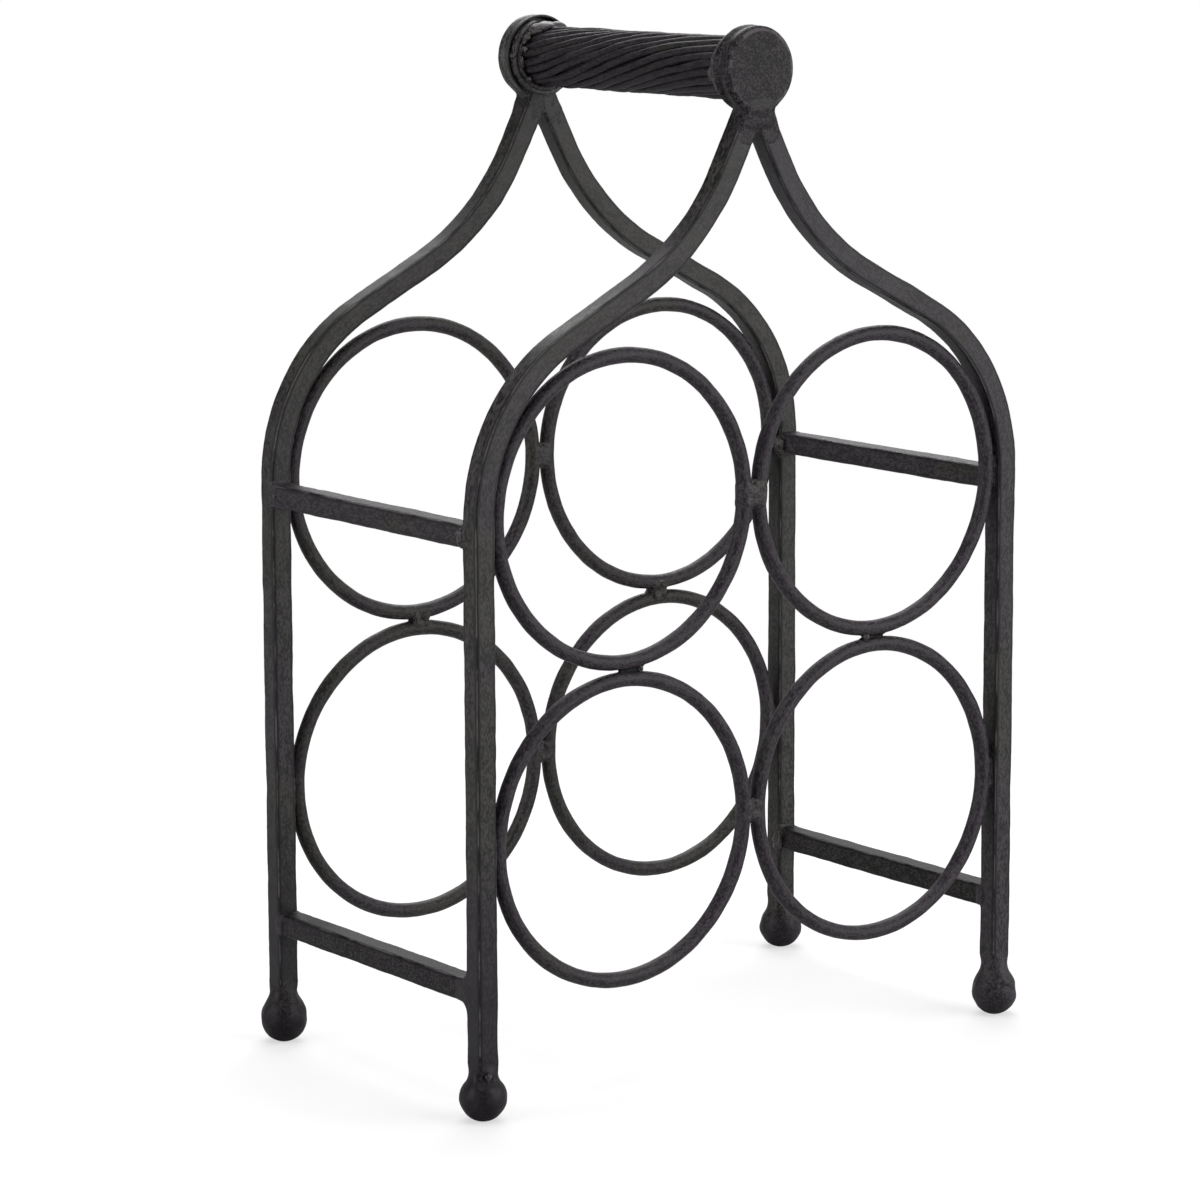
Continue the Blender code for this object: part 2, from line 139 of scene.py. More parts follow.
SIDES = (("left", -1), ("right", 1))
FRAMES = (("front", -1), ("back", 1))
ROWS = (("upper", UPPER_RING_Z), ("lower", LOWER_RING_Z))
PLACES = [(number, frame_name, front, side_name, side)
          for number, (frame_name, front) in enumerate(FRAMES) for side_name, side in SIDES]
SEEDS = {"bar": 10, "foot": 30, "ring": 50, "cross bar": 70, "cap": 80, "collar": 84,
         "wire": 100, "side weld": 200, "stack weld": 210, "leg weld": 220, "corner weld": 240,
         "neck weld": 260, "mouth weld": 270, "lump": 300, "mouth lump": 310}
print("bar, mm:", round(2 * HALF_BAR / MM, 2), "ring, mm:", round(2 * RING_OUTER_RADIUS / MM, 2))

# %% [markdown]
# ## Shader sums as Python sums
#
# Paint needs many small sums: this noise times that mask, one minus an edge. Written node by node
# they are hard to read. A small class wraps a node's output, and each Python operator on it adds
# the Math node that does the sum. Every other node comes from one method of the recipe.
# %% Wrap the node sockets
class Signal:
    """The output of a node, usable in Python sums."""

    def __init__(self, recipe, socket):
        self.recipe = recipe
        self.socket = socket

    def sum_with(self, operation, left, right):
        """The result of a Math node on two values or outputs."""
        return self.recipe.add("Math", {"operation": operation}, {0: left, 1: right})

    def __add__(self, other):
        return self.sum_with("ADD", self, other)

    def __sub__(self, other):
        return self.sum_with("SUBTRACT", self, other)

    def __rsub__(self, other):
        return self.sum_with("SUBTRACT", other, self)

    def __mul__(self, other):
        return self.sum_with("MULTIPLY", self, other)

    __radd__ = __add__
    __rmul__ = __mul__

    def ramp(self, low, high):
        """Zero below low, one above high, and a smooth step between the two."""
        return self.recipe.add("MapRange", {"interpolation_type": "SMOOTHSTEP"},
                               {"Value": self, "From Min": low, "From Max": high})


class Recipe:
    """The nodes of a material or of the world."""

    def __init__(self, tree):
        self.tree = tree

    def add(self, kind, settings=None, inputs=None, output=0):
        """Add a node: its settings first, then the values or links of its sockets."""
        node = self.tree.nodes.new("ShaderNode" + kind)
        for key, value in (settings or {}).items():
            setattr(node, key, value)
        for key, value in (inputs or {}).items():
            self.feed(node.inputs[key], value)
        return Signal(self, node.outputs[output])

    def feed(self, socket, value):
        """Link an output to a socket, or write a plain value in it."""
        if isinstance(value, Signal):
            self.tree.links.new(value.socket, socket)
        else:
            socket.default_value = value

    def noise(self, place, size, detail=3.0, roughness=0.6):
        """Noise whose lumps are about the given size across, from 0 to 1."""
        return self.add("TexNoise", None, {"Vector": place, "Scale": 1 / size, "Detail": detail,
                                           "Roughness": roughness})

    def blend(self, amount, first, second):
        """One colour over another, by an amount from 0 to 1."""
        return self.add("Mix", {"data_type": "RGBA"}, {0: amount, 6: first, 7: second}, output=2)

    def shade(self, **values):
        """Give the surface its values or links, by the socket's name with _ for a space."""
        shader = self.tree.nodes["Principled BSDF"]
        for key, value in values.items():
            self.feed(shader.inputs[key.replace("_", " ")], value)


def new_material(name):
    """A material, and the recipe for its nodes."""
    material = bpy.data.materials.new(name)
    material.use_nodes = True
    return material, Recipe(material.node_tree)


def grey(level):
    """A colour whose red, green and blue are the same."""
    return level, level, level, 1.0


# %% [markdown]
# ## Black paint on hand-worked iron
#
# The paint is a satin near-black, and far from even. It drifts between a purple and a greenish
# grey over a few centimetres, is cloudy over a few millimetres, and has pale flecks and dark pits
# of about one millimetre. On the bars and wires the clouds are drawn out along the metal. Beside
# the bars' corners dark bands are painted shade, and the fine pale line on top of each corner is
# partly rubbed paint and partly a painted highlight. Painted shade towards a purple black darkens
# the balls of the feet and the lower ends of the left legs, and the balls' own tint is purple.
#
# Each piece carries a vector attribute, "run", that says where a point would be if the piece were
# straightened, shortened along its length. Noise that reads it follows a ring or a bent bar as the
# real streaks do. A second attribute, "corner", is the distance from the nearest corner's middle.
#
# Flecks, pits, gloss and bumps each mix the three finer noises: the values named MIX are the shares
# of the smallest, the middle and the largest. The values named STEP are where a mask begins and is
# full.
# %% Mix the paint
PURPLE_GREY = (0.0150, 0.0095, 0.0170, 1.0)
GREEN_GREY = (0.0125, 0.0125, 0.0070, 1.0)
PALE_FLECK = (0.0680, 0.0620, 0.0650, 1.0)
PIT_BLACK = grey(0.0010)
# Painted shade darkens towards this purple black.
PAINTED_SHADE_PURPLE = (0.0050, 0.0024, 0.0062, 1.0)
# The pale line on corners: partly rubbed paint, partly a painted highlight.
RUB_AND_HIGHLIGHT = (0.1000, 0.0900, 0.1000, 1.0)
FAR_CORNER = 3 * MM
DRIFT_SIZE, CLOUD_SIZE, GRAIN_SIZE, SPECK_SIZE = 30 * MM, 5 * MM, 1.7 * MM, 0.62 * MM
FLECK_MIX, FLECK_STEP = (0.55, 0.25, 0.20), (0.42, 0.64)
PIT_MIX, PIT_STEP = (0.45, 0.35, 0.20), (0.50, 0.36)
GLOSS_MIX = (0.35, 0.15, 0.15)
BUMP_MIX, BUMP_DEPTH = (0.30, 0.40, 0.30), 0.16 * MM
TINT_SOFTNESS = 0.07
SHADE_WANDER = 10 * MM
FLECKS_KEPT = 0.7
# The dark bands beside the bars' corners are painted shade.
SHADE_BAND_OUTER, SHADE_BAND_INNER = 1.35 * MM, 0.7 * MM
RUB_HIGHLIGHT_STEP, RUB_HIGHLIGHT_SHARE = (0.40, 0.62), 0.8


def iron_paint(name, fleck=0.55, dark=0.0, gloss=0.50, green_above=0.54, shine=0.32,
               shaded=(), purple=None, bump=0.5, edge=0.85, pit=0.9, rub_highlight_width=0.34 * MM):
    """Satin black paint; fleck is the share of pale flecks, dark deepens what lies under them.

    Each entry of shaded is a share of painted shade, towards a purple black, and the two
    heights between which it grows from nothing to that share; the flecks keep part of their
    paleness. Purple is a pair of heights: below the first the tint is all purple, and above the
    second it drifts as elsewhere. Edge is the share of the dark bands of painted shade beside
    the corners, and pit that of the dark pits. The rub width is the half width of the pale line
    on the corners, partly rubbed paint and partly a painted highlight.
    """
    material, recipe = new_material(name)
    run = recipe.add("Attribute", {"attribute_name": "run"}, output=1)
    corner = recipe.add("Attribute", {"attribute_name": "corner"}, output=2)
    drift = recipe.noise(run, DRIFT_SIZE, detail=1.0)
    cloud = recipe.noise(run, CLOUD_SIZE)
    grain = recipe.noise(run, GRAIN_SIZE, detail=1.0, roughness=0.5)
    speck = recipe.noise(run, SPECK_SIZE, detail=0.0)
    place = recipe.add("TexCoord", output=3)
    level = recipe.add("SeparateXYZ", None, {0: place}, output=2) + (cloud - 0.5) * SHADE_WANDER

    def mixed(shares):
        return speck * shares[0] + grain * shares[1] + cloud * shares[2]

    tint = (drift * 0.6 + cloud * 0.4).ramp(green_above - TINT_SOFTNESS,
                                            green_above + TINT_SOFTNESS)
    if purple:
        tint = tint * level.ramp(*purple)
    colour = recipe.blend(tint, PURPLE_GREY, GREEN_GREY)
    colour = recipe.blend(dark, colour, PIT_BLACK)
    pale = mixed(FLECK_MIX).ramp(*FLECK_STEP) * fleck
    colour = recipe.blend(pale, colour, PALE_FLECK)
    pits = mixed(PIT_MIX).ramp(*PIT_STEP) * pit
    colour = recipe.blend(pits, colour, PIT_BLACK)
    # Painted shade: darker towards a purple black between two heights.
    for share, start, stop in shaded:
        depth = level.ramp(start, stop) * share * (1 - pale * FLECKS_KEPT)
        colour = recipe.blend(depth, colour, PAINTED_SHADE_PURPLE)
    # Painted shade: dark bands beside the corners.
    beside = corner.ramp(SHADE_BAND_OUTER, SHADE_BAND_INNER) * edge
    colour = recipe.blend(beside, colour, PIT_BLACK)
    # Pale line on the corners: partly rubbed paint, partly a painted highlight.
    rub_and_highlight = corner.ramp(rub_highlight_width, 0.35 * rub_highlight_width) * cloud.ramp(*RUB_HIGHLIGHT_STEP) * RUB_HIGHLIGHT_SHARE
    colour = recipe.blend(rub_and_highlight, colour, RUB_AND_HIGHLIGHT)

    rough = mixed(GLOSS_MIX) + (gloss - sum(GLOSS_MIX) / 2)
    normal = recipe.add("Bump", None, {"Strength": bump, "Distance": BUMP_DEPTH,
                                       "Height": mixed(BUMP_MIX)})
    recipe.shade(Base_Color=colour, Roughness=rough, Normal=normal, Metallic=0.0,
                 Specular_IOR_Level=shine)
    return material


# %% [markdown]
# Every group of pieces gets its own mixture. A leg's tones are its tint and the share of painted
# shade at its foot, and every bar gets painted shade just under the cap as well. A foot's are its
# tint, its shine, the painted shade of its neck and of its ball, and the two heights in
# millimetres between which the ball's grows. The rings and cross bars are plainer, with fewer
# flecks and pits.
# %% Mix one paint for each kind of piece
# Painted shade under the caps, and towards the feet.
SHADE_UNDER_CAP = (0.30, 300 * MM, 326 * MM)
LOW_LEG_SHADE = (110 * MM, 30 * MM)
LEG_TONES = {("front", "left"): (0.49, 1.0), ("front", "right"): (0.59, 0.05),
             ("back", "left"): (0.50, 1.0), ("back", "right"): (0.36, 0.0)}
bar_paints = {place: iron_paint("bar_paint_" + "_".join(place), green_above=green,
                                shaded=[(share, *LOW_LEG_SHADE), SHADE_UNDER_CAP])
              for place, (green, share) in LEG_TONES.items()}
# The neck welds are painted darker than the bars, as shade under the caps.
neck_paint = iron_paint("neck_paint", dark=0.55, green_above=0.55, shine=0.23)
# The lower cross bars take a darker copy of the paint: painted shade.
cross_bar_paints = {row_name: iron_paint(f"{row_name}_cross_bar_paint", fleck=0.48, dark=dark,
                                         shine=shine, edge=0.5, pit=0.6)
                    for row_name, dark, shine in (("upper", 0.0, 0.26), ("lower", 0.65, 0.15))}
ring_paints = {frame_name: iron_paint(f"{frame_name}_ring_paint", fleck=0.5, gloss=0.54,
                                      green_above=green, shine=shine, bump=0.45, pit=0.5)
               for frame_name, green, shine in (("front", 0.63, 0.29), ("back", 0.50, 0.31))}
FOOT_TONES = {("front", "left"): (0.60, 0.25, 0.80, 0.85, 22, 14),
              ("front", "right"): (0.45, 0.31, 0.10, 0.30, 18, 8),
              ("back", "left"): (0.44, 0.21, 0.55, 0.95, 16, 8),
              ("back", "right"): (0.40, 0.27, 0.00, 0.95, 16, 8)}
foot_paints = {place: iron_paint("foot_paint_" + "_".join(place), green_above=green, shine=shine,
                                 shaded=[(neck, *LOW_LEG_SHADE), (ball, start * MM, stop * MM)],
                                 purple=(stop * MM, start * MM))
               for place, (green, shine, neck, ball, start, stop) in FOOT_TONES.items()}
cap_paint = iron_paint("cap_paint", fleck=0.95, green_above=0.56, shine=0.45)
# The front cap is painted darker than the back cap, as shade, and its wide pale lip line is a
# painted highlight.
disc_paint = iron_paint("disc_paint", fleck=0.65, dark=0.75, green_above=0.68, shine=0.16,
                        bump=0.9, edge=0, rub_highlight_width=0.8 * MM)
wire_paint = iron_paint("wire_paint", fleck=0.25, dark=0.4, gloss=0.60, green_above=0.62,
                        shine=0.235)
weld_paint = iron_paint("weld_paint", fleck=0.7, green_above=0.50)
seam_paint = iron_paint("seam_paint", fleck=0.2, dark=0.75, gloss=0.60, green_above=0.50,
                        shine=0.18)
lump_paint = iron_paint("lump_paint", fleck=1.0, gloss=0.44, green_above=0.46, shine=0.40)
print("paints for bars and feet:", len(bar_paints) + len(foot_paints))

# %% [markdown]
# ## Surfaces from grids
#
# Every piece is a grid of points: rows along the piece and columns round it. Small helpers place
# the points, and one turns a grid into a closed mesh, with flat ends unless the rows close on
# themselves. Another gives the unevenness of hand-worked metal: a sum of sine waves that run in
# random directions, which is smooth and has no seam, because it depends on the place alone.
# %% Make a mesh from a grid
WAVES = 14
MERGE_DISTANCE = 0.001 * MM
SHARP_ANGLE = math.radians(50)


def full_turn(steps):
    """Angles at even steps round a circle."""
    return np.linspace(0, 2 * np.pi, steps, endpoint=False)


def xyz(x, y, z):
    """Points from three arrays, each repeated over the rows or columns that it lacks."""
    return np.stack(np.broadcast_arrays(x, y, z), axis=-1)


def spun(radius, angle, along):
    """Points round the Y axis: the cosine and sine of the angle times the radius, and along Y."""
    return xyz(radius * np.cos(angle), along, radius * np.sin(angle))


def ripples(points, length, seed):
    """Smooth noise around zero: a sum of sines of about the given wavelength.

    Each sine runs in a random direction and starts anywhere. The sum is divided by the square
    root of half their number, which gives it a spread of about one.
    """
    rng = np.random.default_rng(seed)
    ways = rng.normal(size=(WAVES, 3))
    ways /= np.linalg.norm(ways, axis=1, keepdims=True)
    rates = 2 * np.pi / (length * rng.uniform(0.7, 1.5, WAVES))
    starts = rng.uniform(0, 2 * np.pi, WAVES)
    phases = points @ (ways * rates[:, None]).T + starts
    return np.sin(phases).sum(axis=-1) / math.sqrt(WAVES / 2)


def waves(points, table, seed, total=0.0):
    """Ripples of several depths and lengths, added up on a total."""
    for step, (depth, length) in enumerate(table):
        total = total + depth * ripples(points, length, seed + step)
    return total


def grid_object(name, grid, paint, nodes=(), run=None, corner=None, closed=False):
    """A closed mesh over a grid of points whose columns go round, riding on the rack.

    Each face joins four neighbours in the grid. Rows that don't close get a flat face at each
    end. Points that coincide, as at a pole, are merged, and all faces are turned outwards.
    """
    rows, columns = grid.shape[:2]
    number = np.arange(rows * columns).reshape(rows, columns)
    above = number if closed else number[:-1]
    below = np.roll(number, -1, axis=0) if closed else number[1:]
    faces = np.stack((above, np.roll(above, -1, axis=1), np.roll(below, -1, axis=1), below),
                     axis=-1).reshape(-1, 4).tolist()
    if not closed:
        faces += [number[0, ::-1].tolist(), number[-1].tolist()]
    mesh = bpy.data.meshes.new(name)
    mesh.from_pydata(grid.reshape(-1, 3), [], faces)
    straight = grid if run is None else run
    distance = np.full((rows, columns), FAR_CORNER) if corner is None else corner
    mesh.attributes.new("run", "FLOAT_VECTOR", "POINT").data.foreach_set(
        "vector", np.ascontiguousarray(straight, dtype=np.float32).ravel())
    mesh.attributes.new("corner", "FLOAT", "POINT").data.foreach_set(
        "value", np.broadcast_to(distance, (rows, columns)).astype(np.float32).ravel())
    shape = bmesh.new()
    shape.from_mesh(mesh)
    bmesh.ops.remove_doubles(shape, verts=shape.verts, dist=MERGE_DISTANCE)
    bmesh.ops.recalc_face_normals(shape, faces=shape.faces)
    shape.to_mesh(mesh)
    shape.free()
    mesh.shade_smooth()
    mesh.set_sharp_from_angle(angle=SHARP_ANGLE)
    mesh.materials.append(paint)
    piece = bpy.data.objects.new(name, mesh)
    bpy.context.scene.collection.objects.link(piece)
    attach(piece, "root")
    if nodes:
        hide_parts(*nodes)
    return piece


# %% [markdown]
# ## The section of a bar
#
# A drawn square bar isn't sharp: its corners have a radius of about one millimetre. The section
# is a quarter, made of a flat and an arc, turned four times. Each point also knows which way it
# faces, for the unevenness, and how far along the outline it is from the nearest corner's middle.
# %% Draw the section
BAR_ROUND = 0.95 * MM
WEAR = ((0.070, 26 * MM), (0.035, 8 * MM), (0.014, 2.6 * MM))


def rounded_square(half, rounding, flat_steps, round_steps):
    """Points, outward directions and corner distances round a square with round corners.

    A quarter is a straight flat from below to above, then an arc of a quarter turn round the
    corner's own centre. Turning it by 90, 180 and 270 degrees gives the rest.
    """
    flat = half - rounding
    rise = np.linspace(-flat, flat, flat_steps, endpoint=False)
    turn = np.linspace(0, np.pi / 2, round_steps, endpoint=False)
    along = np.concatenate((np.full(flat_steps, half), flat + rounding * np.cos(turn)))
    across = np.concatenate((rise, flat + rounding * np.sin(turn)))
    facing = np.concatenate((np.zeros(flat_steps), turn))
    half_arc = rounding * np.pi / 4
    distance = np.concatenate((half_arc + flat - np.abs(rise), np.abs(rounding * turn - half_arc)))
    quarter = np.repeat(np.arange(4) * np.pi / 2, flat_steps + round_steps)
    x, y = np.tile(along, 4), np.tile(across, 4)
    points = np.column_stack((x * np.cos(quarter) - y * np.sin(quarter),
                              x * np.sin(quarter) + y * np.cos(quarter)))
    angle = np.tile(facing, 4) + quarter
    return points, np.column_stack((np.cos(angle), np.sin(angle))), np.tile(distance, 4)


def worn(points, outward, seed, amount=1.0):
    """Move points in or out by the metal's unevenness, whose waves have depths in millimetres."""
    return points + outward * (amount * MM * waves(points, WEAR, seed))[..., None]


section, section_out, section_corner = rounded_square(HALF_BAR, BAR_ROUND, flat_steps=6,
                                                      round_steps=5)
print("points in the section:", len(section))

# %% [markdown]
# ## The frame bars
#
# Each bar climbs straight up as a leg, bends inwards over the upper ring as the bottle's
# shoulder, runs on as a straight slope, and bends back up into the neck. The path is worked out
# from its heading: the running turn gives the direction, and the running sum of the direction
# gives the place. The neck's curve is the largest that clears the shoulder's, times a share. Just
# under the cap the curve ends and the bar runs straight, until it meets the other bar at the
# middle plane.
#
# At the top the bar ends on the cap's round side. Each column of the grid is stretched or
# shortened a little near its end, so that the last row lies on that cylinder.
# %% Bend the bars
SHOULDER_SLACK = 7.0 * MM
NECK_LEAN = math.radians(14.3)
NECK_CURVE_SHARE = 0.932
NECK_STRAIGHT_LEAN = math.radians(27)
NECK_STRAIGHT_LENGTH = 24 * MM
MITRE_GAP = 0.1 * MM
ROW_STEP = 1.0 * MM
FINE_STEP = 0.05 * MM
CAP_SEAT_RADIUS = 14.0 * MM
FIT_LENGTH = 4 * MM
RUN_SHORTENING = 2.0
BAR_END_Z = FOOT_TOP - 0.6 * MM
BAR_END_TAPER = 1.6 * MM
BAR_END_SHARE = 0.90

SHOULDER_RADIUS = RING_OUTER_RADIUS + SEAT_GAP + HALF_BAR + SHOULDER_SLACK
SHOULDER_CENTRE = np.array([LEG_X - SHOULDER_RADIUS, UPPER_RING_Z])


def neck_curve():
    """Radius and centre (x, z) of the hollow curve under the cap."""
    tip = np.array([SEAT_GAP, HANDLE_Z - CAP_RADIUS - SEAT_GAP])
    lean = np.array([math.cos(NECK_LEAN), math.sin(NECK_LEAN)])
    way = SHOULDER_CENTRE - tip
    inner = SHOULDER_RADIUS - HALF_BAR
    reach = NECK_CURVE_SHARE * (way @ way - inner ** 2) / (2 * (inner + way @ lean))
    return reach - HALF_BAR, tip + lean * reach


NECK_RADIUS, NECK_CENTRE = neck_curve()


def bar_line():
    """Distance, x, z and heading at fine steps along the right-hand bar."""
    between = NECK_CENTRE - SHOULDER_CENTRE
    spread = np.hypot(*between)
    turn = math.atan2(between[1], between[0]) - math.acos(
        (SHOULDER_RADIUS + NECK_RADIUS) / spread)
    leg = UPPER_RING_Z - BAR_END_Z
    slope = math.sqrt(spread ** 2 - (SHOULDER_RADIUS + NECK_RADIUS) ** 2)
    bends = np.cumsum([leg, SHOULDER_RADIUS * turn, slope,
                       NECK_RADIUS * (turn - NECK_STRAIGHT_LEAN)])
    distance = np.arange(0, bends[-1] + NECK_STRAIGHT_LENGTH, FINE_STEP)
    heading = np.interp(distance, np.concatenate(([0], bends)),
                        [0, 0, turn, turn, NECK_STRAIGHT_LEAN])
    x = LEG_X - np.concatenate(([0], np.cumsum(np.sin(heading[:-1])))) * FINE_STEP
    z = BAR_END_Z + np.concatenate(([0], np.cumsum(np.cos(heading[:-1])))) * FINE_STEP
    return distance, x, z, heading


def bar_grid(side, front, seed):
    """Grid of a bar: the section carried along the path, square to its heading."""
    distance, x, z, heading = bar_line()
    away = np.hypot(x[:, None] + section[:, 0] * np.cos(heading)[:, None],
                    z[:, None] + section[:, 0] * np.sin(heading)[:, None] - HANDLE_Z)
    stop = distance[np.argmax(away < CAP_SEAT_RADIUS, axis=0)]
    steps = np.arange(0, stop.max(), ROW_STEP)
    fit_start = stop.min() - FIT_LENGTH
    share = np.clip((steps - fit_start) / (steps[-1] - fit_start), 0, 1)[:, None]
    along = np.minimum(steps, fit_start)[:, None] + share * (stop - fit_start)
    lean = np.interp(along, distance, heading)
    size = BAR_END_SHARE + (1 - BAR_END_SHARE) * np.clip(along / BAR_END_TAPER, 0, 1) ** 0.5
    reach = section[:, 0] * size
    points = xyz(np.interp(along, distance, x) + reach * np.cos(lean), section[:, 1] * size,
                 np.interp(along, distance, z) + reach * np.sin(lean))
    run = xyz(along / RUN_SHORTENING, section[:, 0] + seed, section[:, 1])
    points = worn(points, spun(section_out[:, 0], lean, section_out[:, 1]), seed)
    points[..., 0] = np.maximum(points[..., 0], MITRE_GAP)
    return points * (side, 1, 1) + (0, front * LEG_Y, 0), run


for number, frame_name, front, side_name, side in PLACES:
    points, run = bar_grid(side, front, SEEDS["bar"] + 4 * number + side)
    grid_object(f"{frame_name}_{side_name}_bar", points, bar_paints[frame_name, side_name],
                [f"frame_bar_{frame_name}_{side_name}"], run, section_corner)
print("rows in a bar:", len(points))

# %% [markdown]
# ## The ball feet
#
# A foot is a ball welded under the leg. Above it the metal narrows in a hollow curve to a neck,
# which is round at the ball and as square as the bar at its top. Each row of the grid is a mix
# of a circle and the bar's section, and the share of the section grows with height. The four
# feet were welded by hand, so each has its own neck and hollow, and its own beads and dents.
#
# A shape is the neck's half width, the hollow's radius and the swell, in millimetres. A mark is
# its angle in degrees, and its height, size and push in millimetres.
# %% Turn the feet
FOOT_FLAT_RADIUS = 2.2 * MM
NECK_OVERLAP = 2.5 * MM
FOOT_SKIN = 0.05 * MM
BALL_SLACK = 0.12 * MM
SQUARE_FROM = -1.5 * MM
SQUARE_OVER = 5.0 * MM
SWELL_HEIGHT = 13.6 * MM
SWELL_WIDTH = 3.0 * MM
NECK_ROWS, HOLLOW_ROWS, BALL_ROWS, FLAT_ROWS = 18, 20, 56, 4
MARK_CIRCLE = 5.5 * MM
DENT_DEPTH, DENT_LENGTH = 0.08 * MM, 6 * MM
MARKS_FROM = 2 * MM
CORNER_SLACK = 0.1 * MM
FOOT_SHAPES = {("front", "left"): (4.85, 6.0, 0.0), ("front", "right"): (4.55, 13.0, 0.80),
               ("back", "left"): (4.70, 11.0, 0.90), ("back", "right"): (4.70, 7.5, 0.35)}
FOOT_MARKS = {
    ("front", "left"): ((268, 14.6, 0.9, -0.7), (244, 15.4, 0.9, -0.9), (232, 13.4, 1.0, -0.8),
                        (220, 15.8, 0.8, -0.6), (208, 12.5, 1.8, 0.4), (250, 12.2, 1.4, 0.35)),
    ("front", "right"): ((262, 14.4, 1.5, 0.45), (217, 9.9, 0.7, -0.6), (227, 10.3, 0.7, -0.6),
                         (237, 10.8, 0.7, -0.7), (247, 11.6, 0.7, -0.8), (256, 12.0, 0.8, -0.8),
                         (265, 11.2, 0.7, -0.7), (276, 10.8, 0.7, -0.6), (288, 10.3, 0.7, -0.5)),
    ("back", "left"): ((236, 16.4, 1.3, -0.4), (252, 13.4, 1.6, 0.35), (216, 12.8, 1.2, 0.35),
                       (238, 11.6, 1.1, -0.3)),
    ("back", "right"): ((230, 15.8, 1.2, -0.4), (250, 14.2, 1.4, 0.4), (212, 13.6, 1.1, 0.3))}


def foot_outline(neck, flare, swell):
    """Heights and half widths from the neck's top down to the flat under the ball.

    The hollow is an arc that touches the neck and the ball. A swell makes it fuller, by the
    exponential of minus the squared distance from its height, in widths of the swell.
    """
    radius = BALL_RADIUS - BALL_SLACK
    ball = math.sqrt(radius ** 2 - FOOT_FLAT_RADIUS ** 2)
    flare_x = neck + flare
    flare_z = ball + math.sqrt((radius + flare) ** 2 - flare_x ** 2)
    lean = math.atan2(flare_z - ball, flare_x)
    hollow = np.linspace(0, lean, HOLLOW_ROWS)[1:]
    bulge = np.linspace(lean, -math.acos(FOOT_FLAT_RADIUS / radius), BALL_ROWS)[1:]
    heights = np.concatenate([np.linspace(FOOT_TOP + NECK_OVERLAP, flare_z, NECK_ROWS),
                              flare_z - flare * np.sin(hollow), ball + radius * np.sin(bulge),
                              np.zeros(FLAT_ROWS)])
    widths = np.concatenate([np.full(NECK_ROWS, neck), flare_x - flare * np.cos(hollow),
                             radius * np.cos(bulge),
                             FOOT_FLAT_RADIUS * np.linspace(0.75, 0, FLAT_ROWS)])
    fuller = np.exp(-((heights - SWELL_HEIGHT) / SWELL_WIDTH) ** 2)
    return heights, widths + swell * fuller * (heights > ball), flare_z


def foot_grid(side, front, shape, marks, seed):
    """Grid of a foot: each row is (1 - share) times a circle plus share times the section.

    The square share is as uneven as the bar above it. A mark is a bead or a dent: it pushes the
    surface by the exponential of minus the squared distance from it, in sizes.
    """
    height, width, flare_z = foot_outline(*(np.array(shape) * MM))
    share = np.clip((height - flare_z - SQUARE_FROM) / SQUARE_OVER, 0, 1)
    share = (share ** 2 * (3 - 2 * share))[:, None]
    skin = np.interp(height, [FOOT_TOP, FOOT_TOP + NECK_OVERLAP], [FOOT_SKIN, -2 * FOOT_SKIN])
    square, square_out, corner = rounded_square(HALF_BAR, BAR_ROUND, flat_steps=20, round_steps=10)
    angle = np.arctan2(square[:, 1], square[:, 0])
    ball_out = np.column_stack((np.cos(angle), np.sin(angle)))
    flat = ((1 - share)[..., None] * width[:, None, None] * ball_out
            + share[..., None] * (square + skin[:, None, None] * square_out))
    way = share[..., None] * square_out + (1 - share)[..., None] * ball_out
    outward = xyz(way[..., 0], way[..., 1], 0.0)
    points = worn(xyz(LEG_X + flat[..., 0], flat[..., 1], height[:, None]), outward,
                  SEEDS["bar"] + seed)
    dents = DENT_DEPTH * ripples(points, DENT_LENGTH, SEEDS["foot"] + seed)
    points = points * (side, 1, 1) + (0, front * LEG_Y, 0)
    turn = np.degrees(np.arctan2(ball_out[:, 1], side * ball_out[:, 0]))
    for degrees, rise, size, push in marks:
        off = np.radians((turn - degrees + 180) % 360 - 180) * MARK_CIRCLE
        distance = np.hypot(off, height[:, None] - rise * MM) / (size * MM)
        dents = dents + push * MM * np.exp(-distance ** 2)
    push = np.clip(height / MARKS_FROM, 0, 1)[:, None] * (1 - share) * dents
    points = points + outward * (side, 1, 1) * push[..., None]
    return points, corner + CORNER_SLACK + (1 - share) * FAR_CORNER


for number, frame_name, front, side_name, side in PLACES:
    place = (frame_name, side_name)
    points, corner = foot_grid(side, front, FOOT_SHAPES[place], FOOT_MARKS[place],
                               seed=4 * number + side)
    grid_object(f"{frame_name}_{side_name}_foot", points, foot_paints[place],
                [f"foot_{frame_name}_{side_name}"], corner=corner)
print("points in a foot:", points.shape[0] * points.shape[1])

# %% [markdown]
# ## The wire rings
#
# A ring is a round wire bent into a circle and welded shut. Its grid has one angle round the ring
# and one round the wire. The seam of the "run" attribute is where the ring meets the leg, under
# the weld. The rings are bent by hand and bulge a little towards the ring above or below.
# %% Bend the rings
RING_ROWS = 420
WIRE_COLUMNS = 26
STACK_BULGE = 0.5 * MM
STACK_BULGE_WIDTH = 0.25


def ring_circle(height, rise):
    """Radius of a ring's circle where the way out from its middle rises by the given share.

    It is the plain radius plus a bulge, which is the exponential of (closeness to the way
    towards the other row, minus one) over a width.
    """
    towards = -1 if height == UPPER_RING_Z else 1
    return RING_RADIUS + STACK_BULGE * np.exp((towards * rise - 1) / STACK_BULGE_WIDTH)


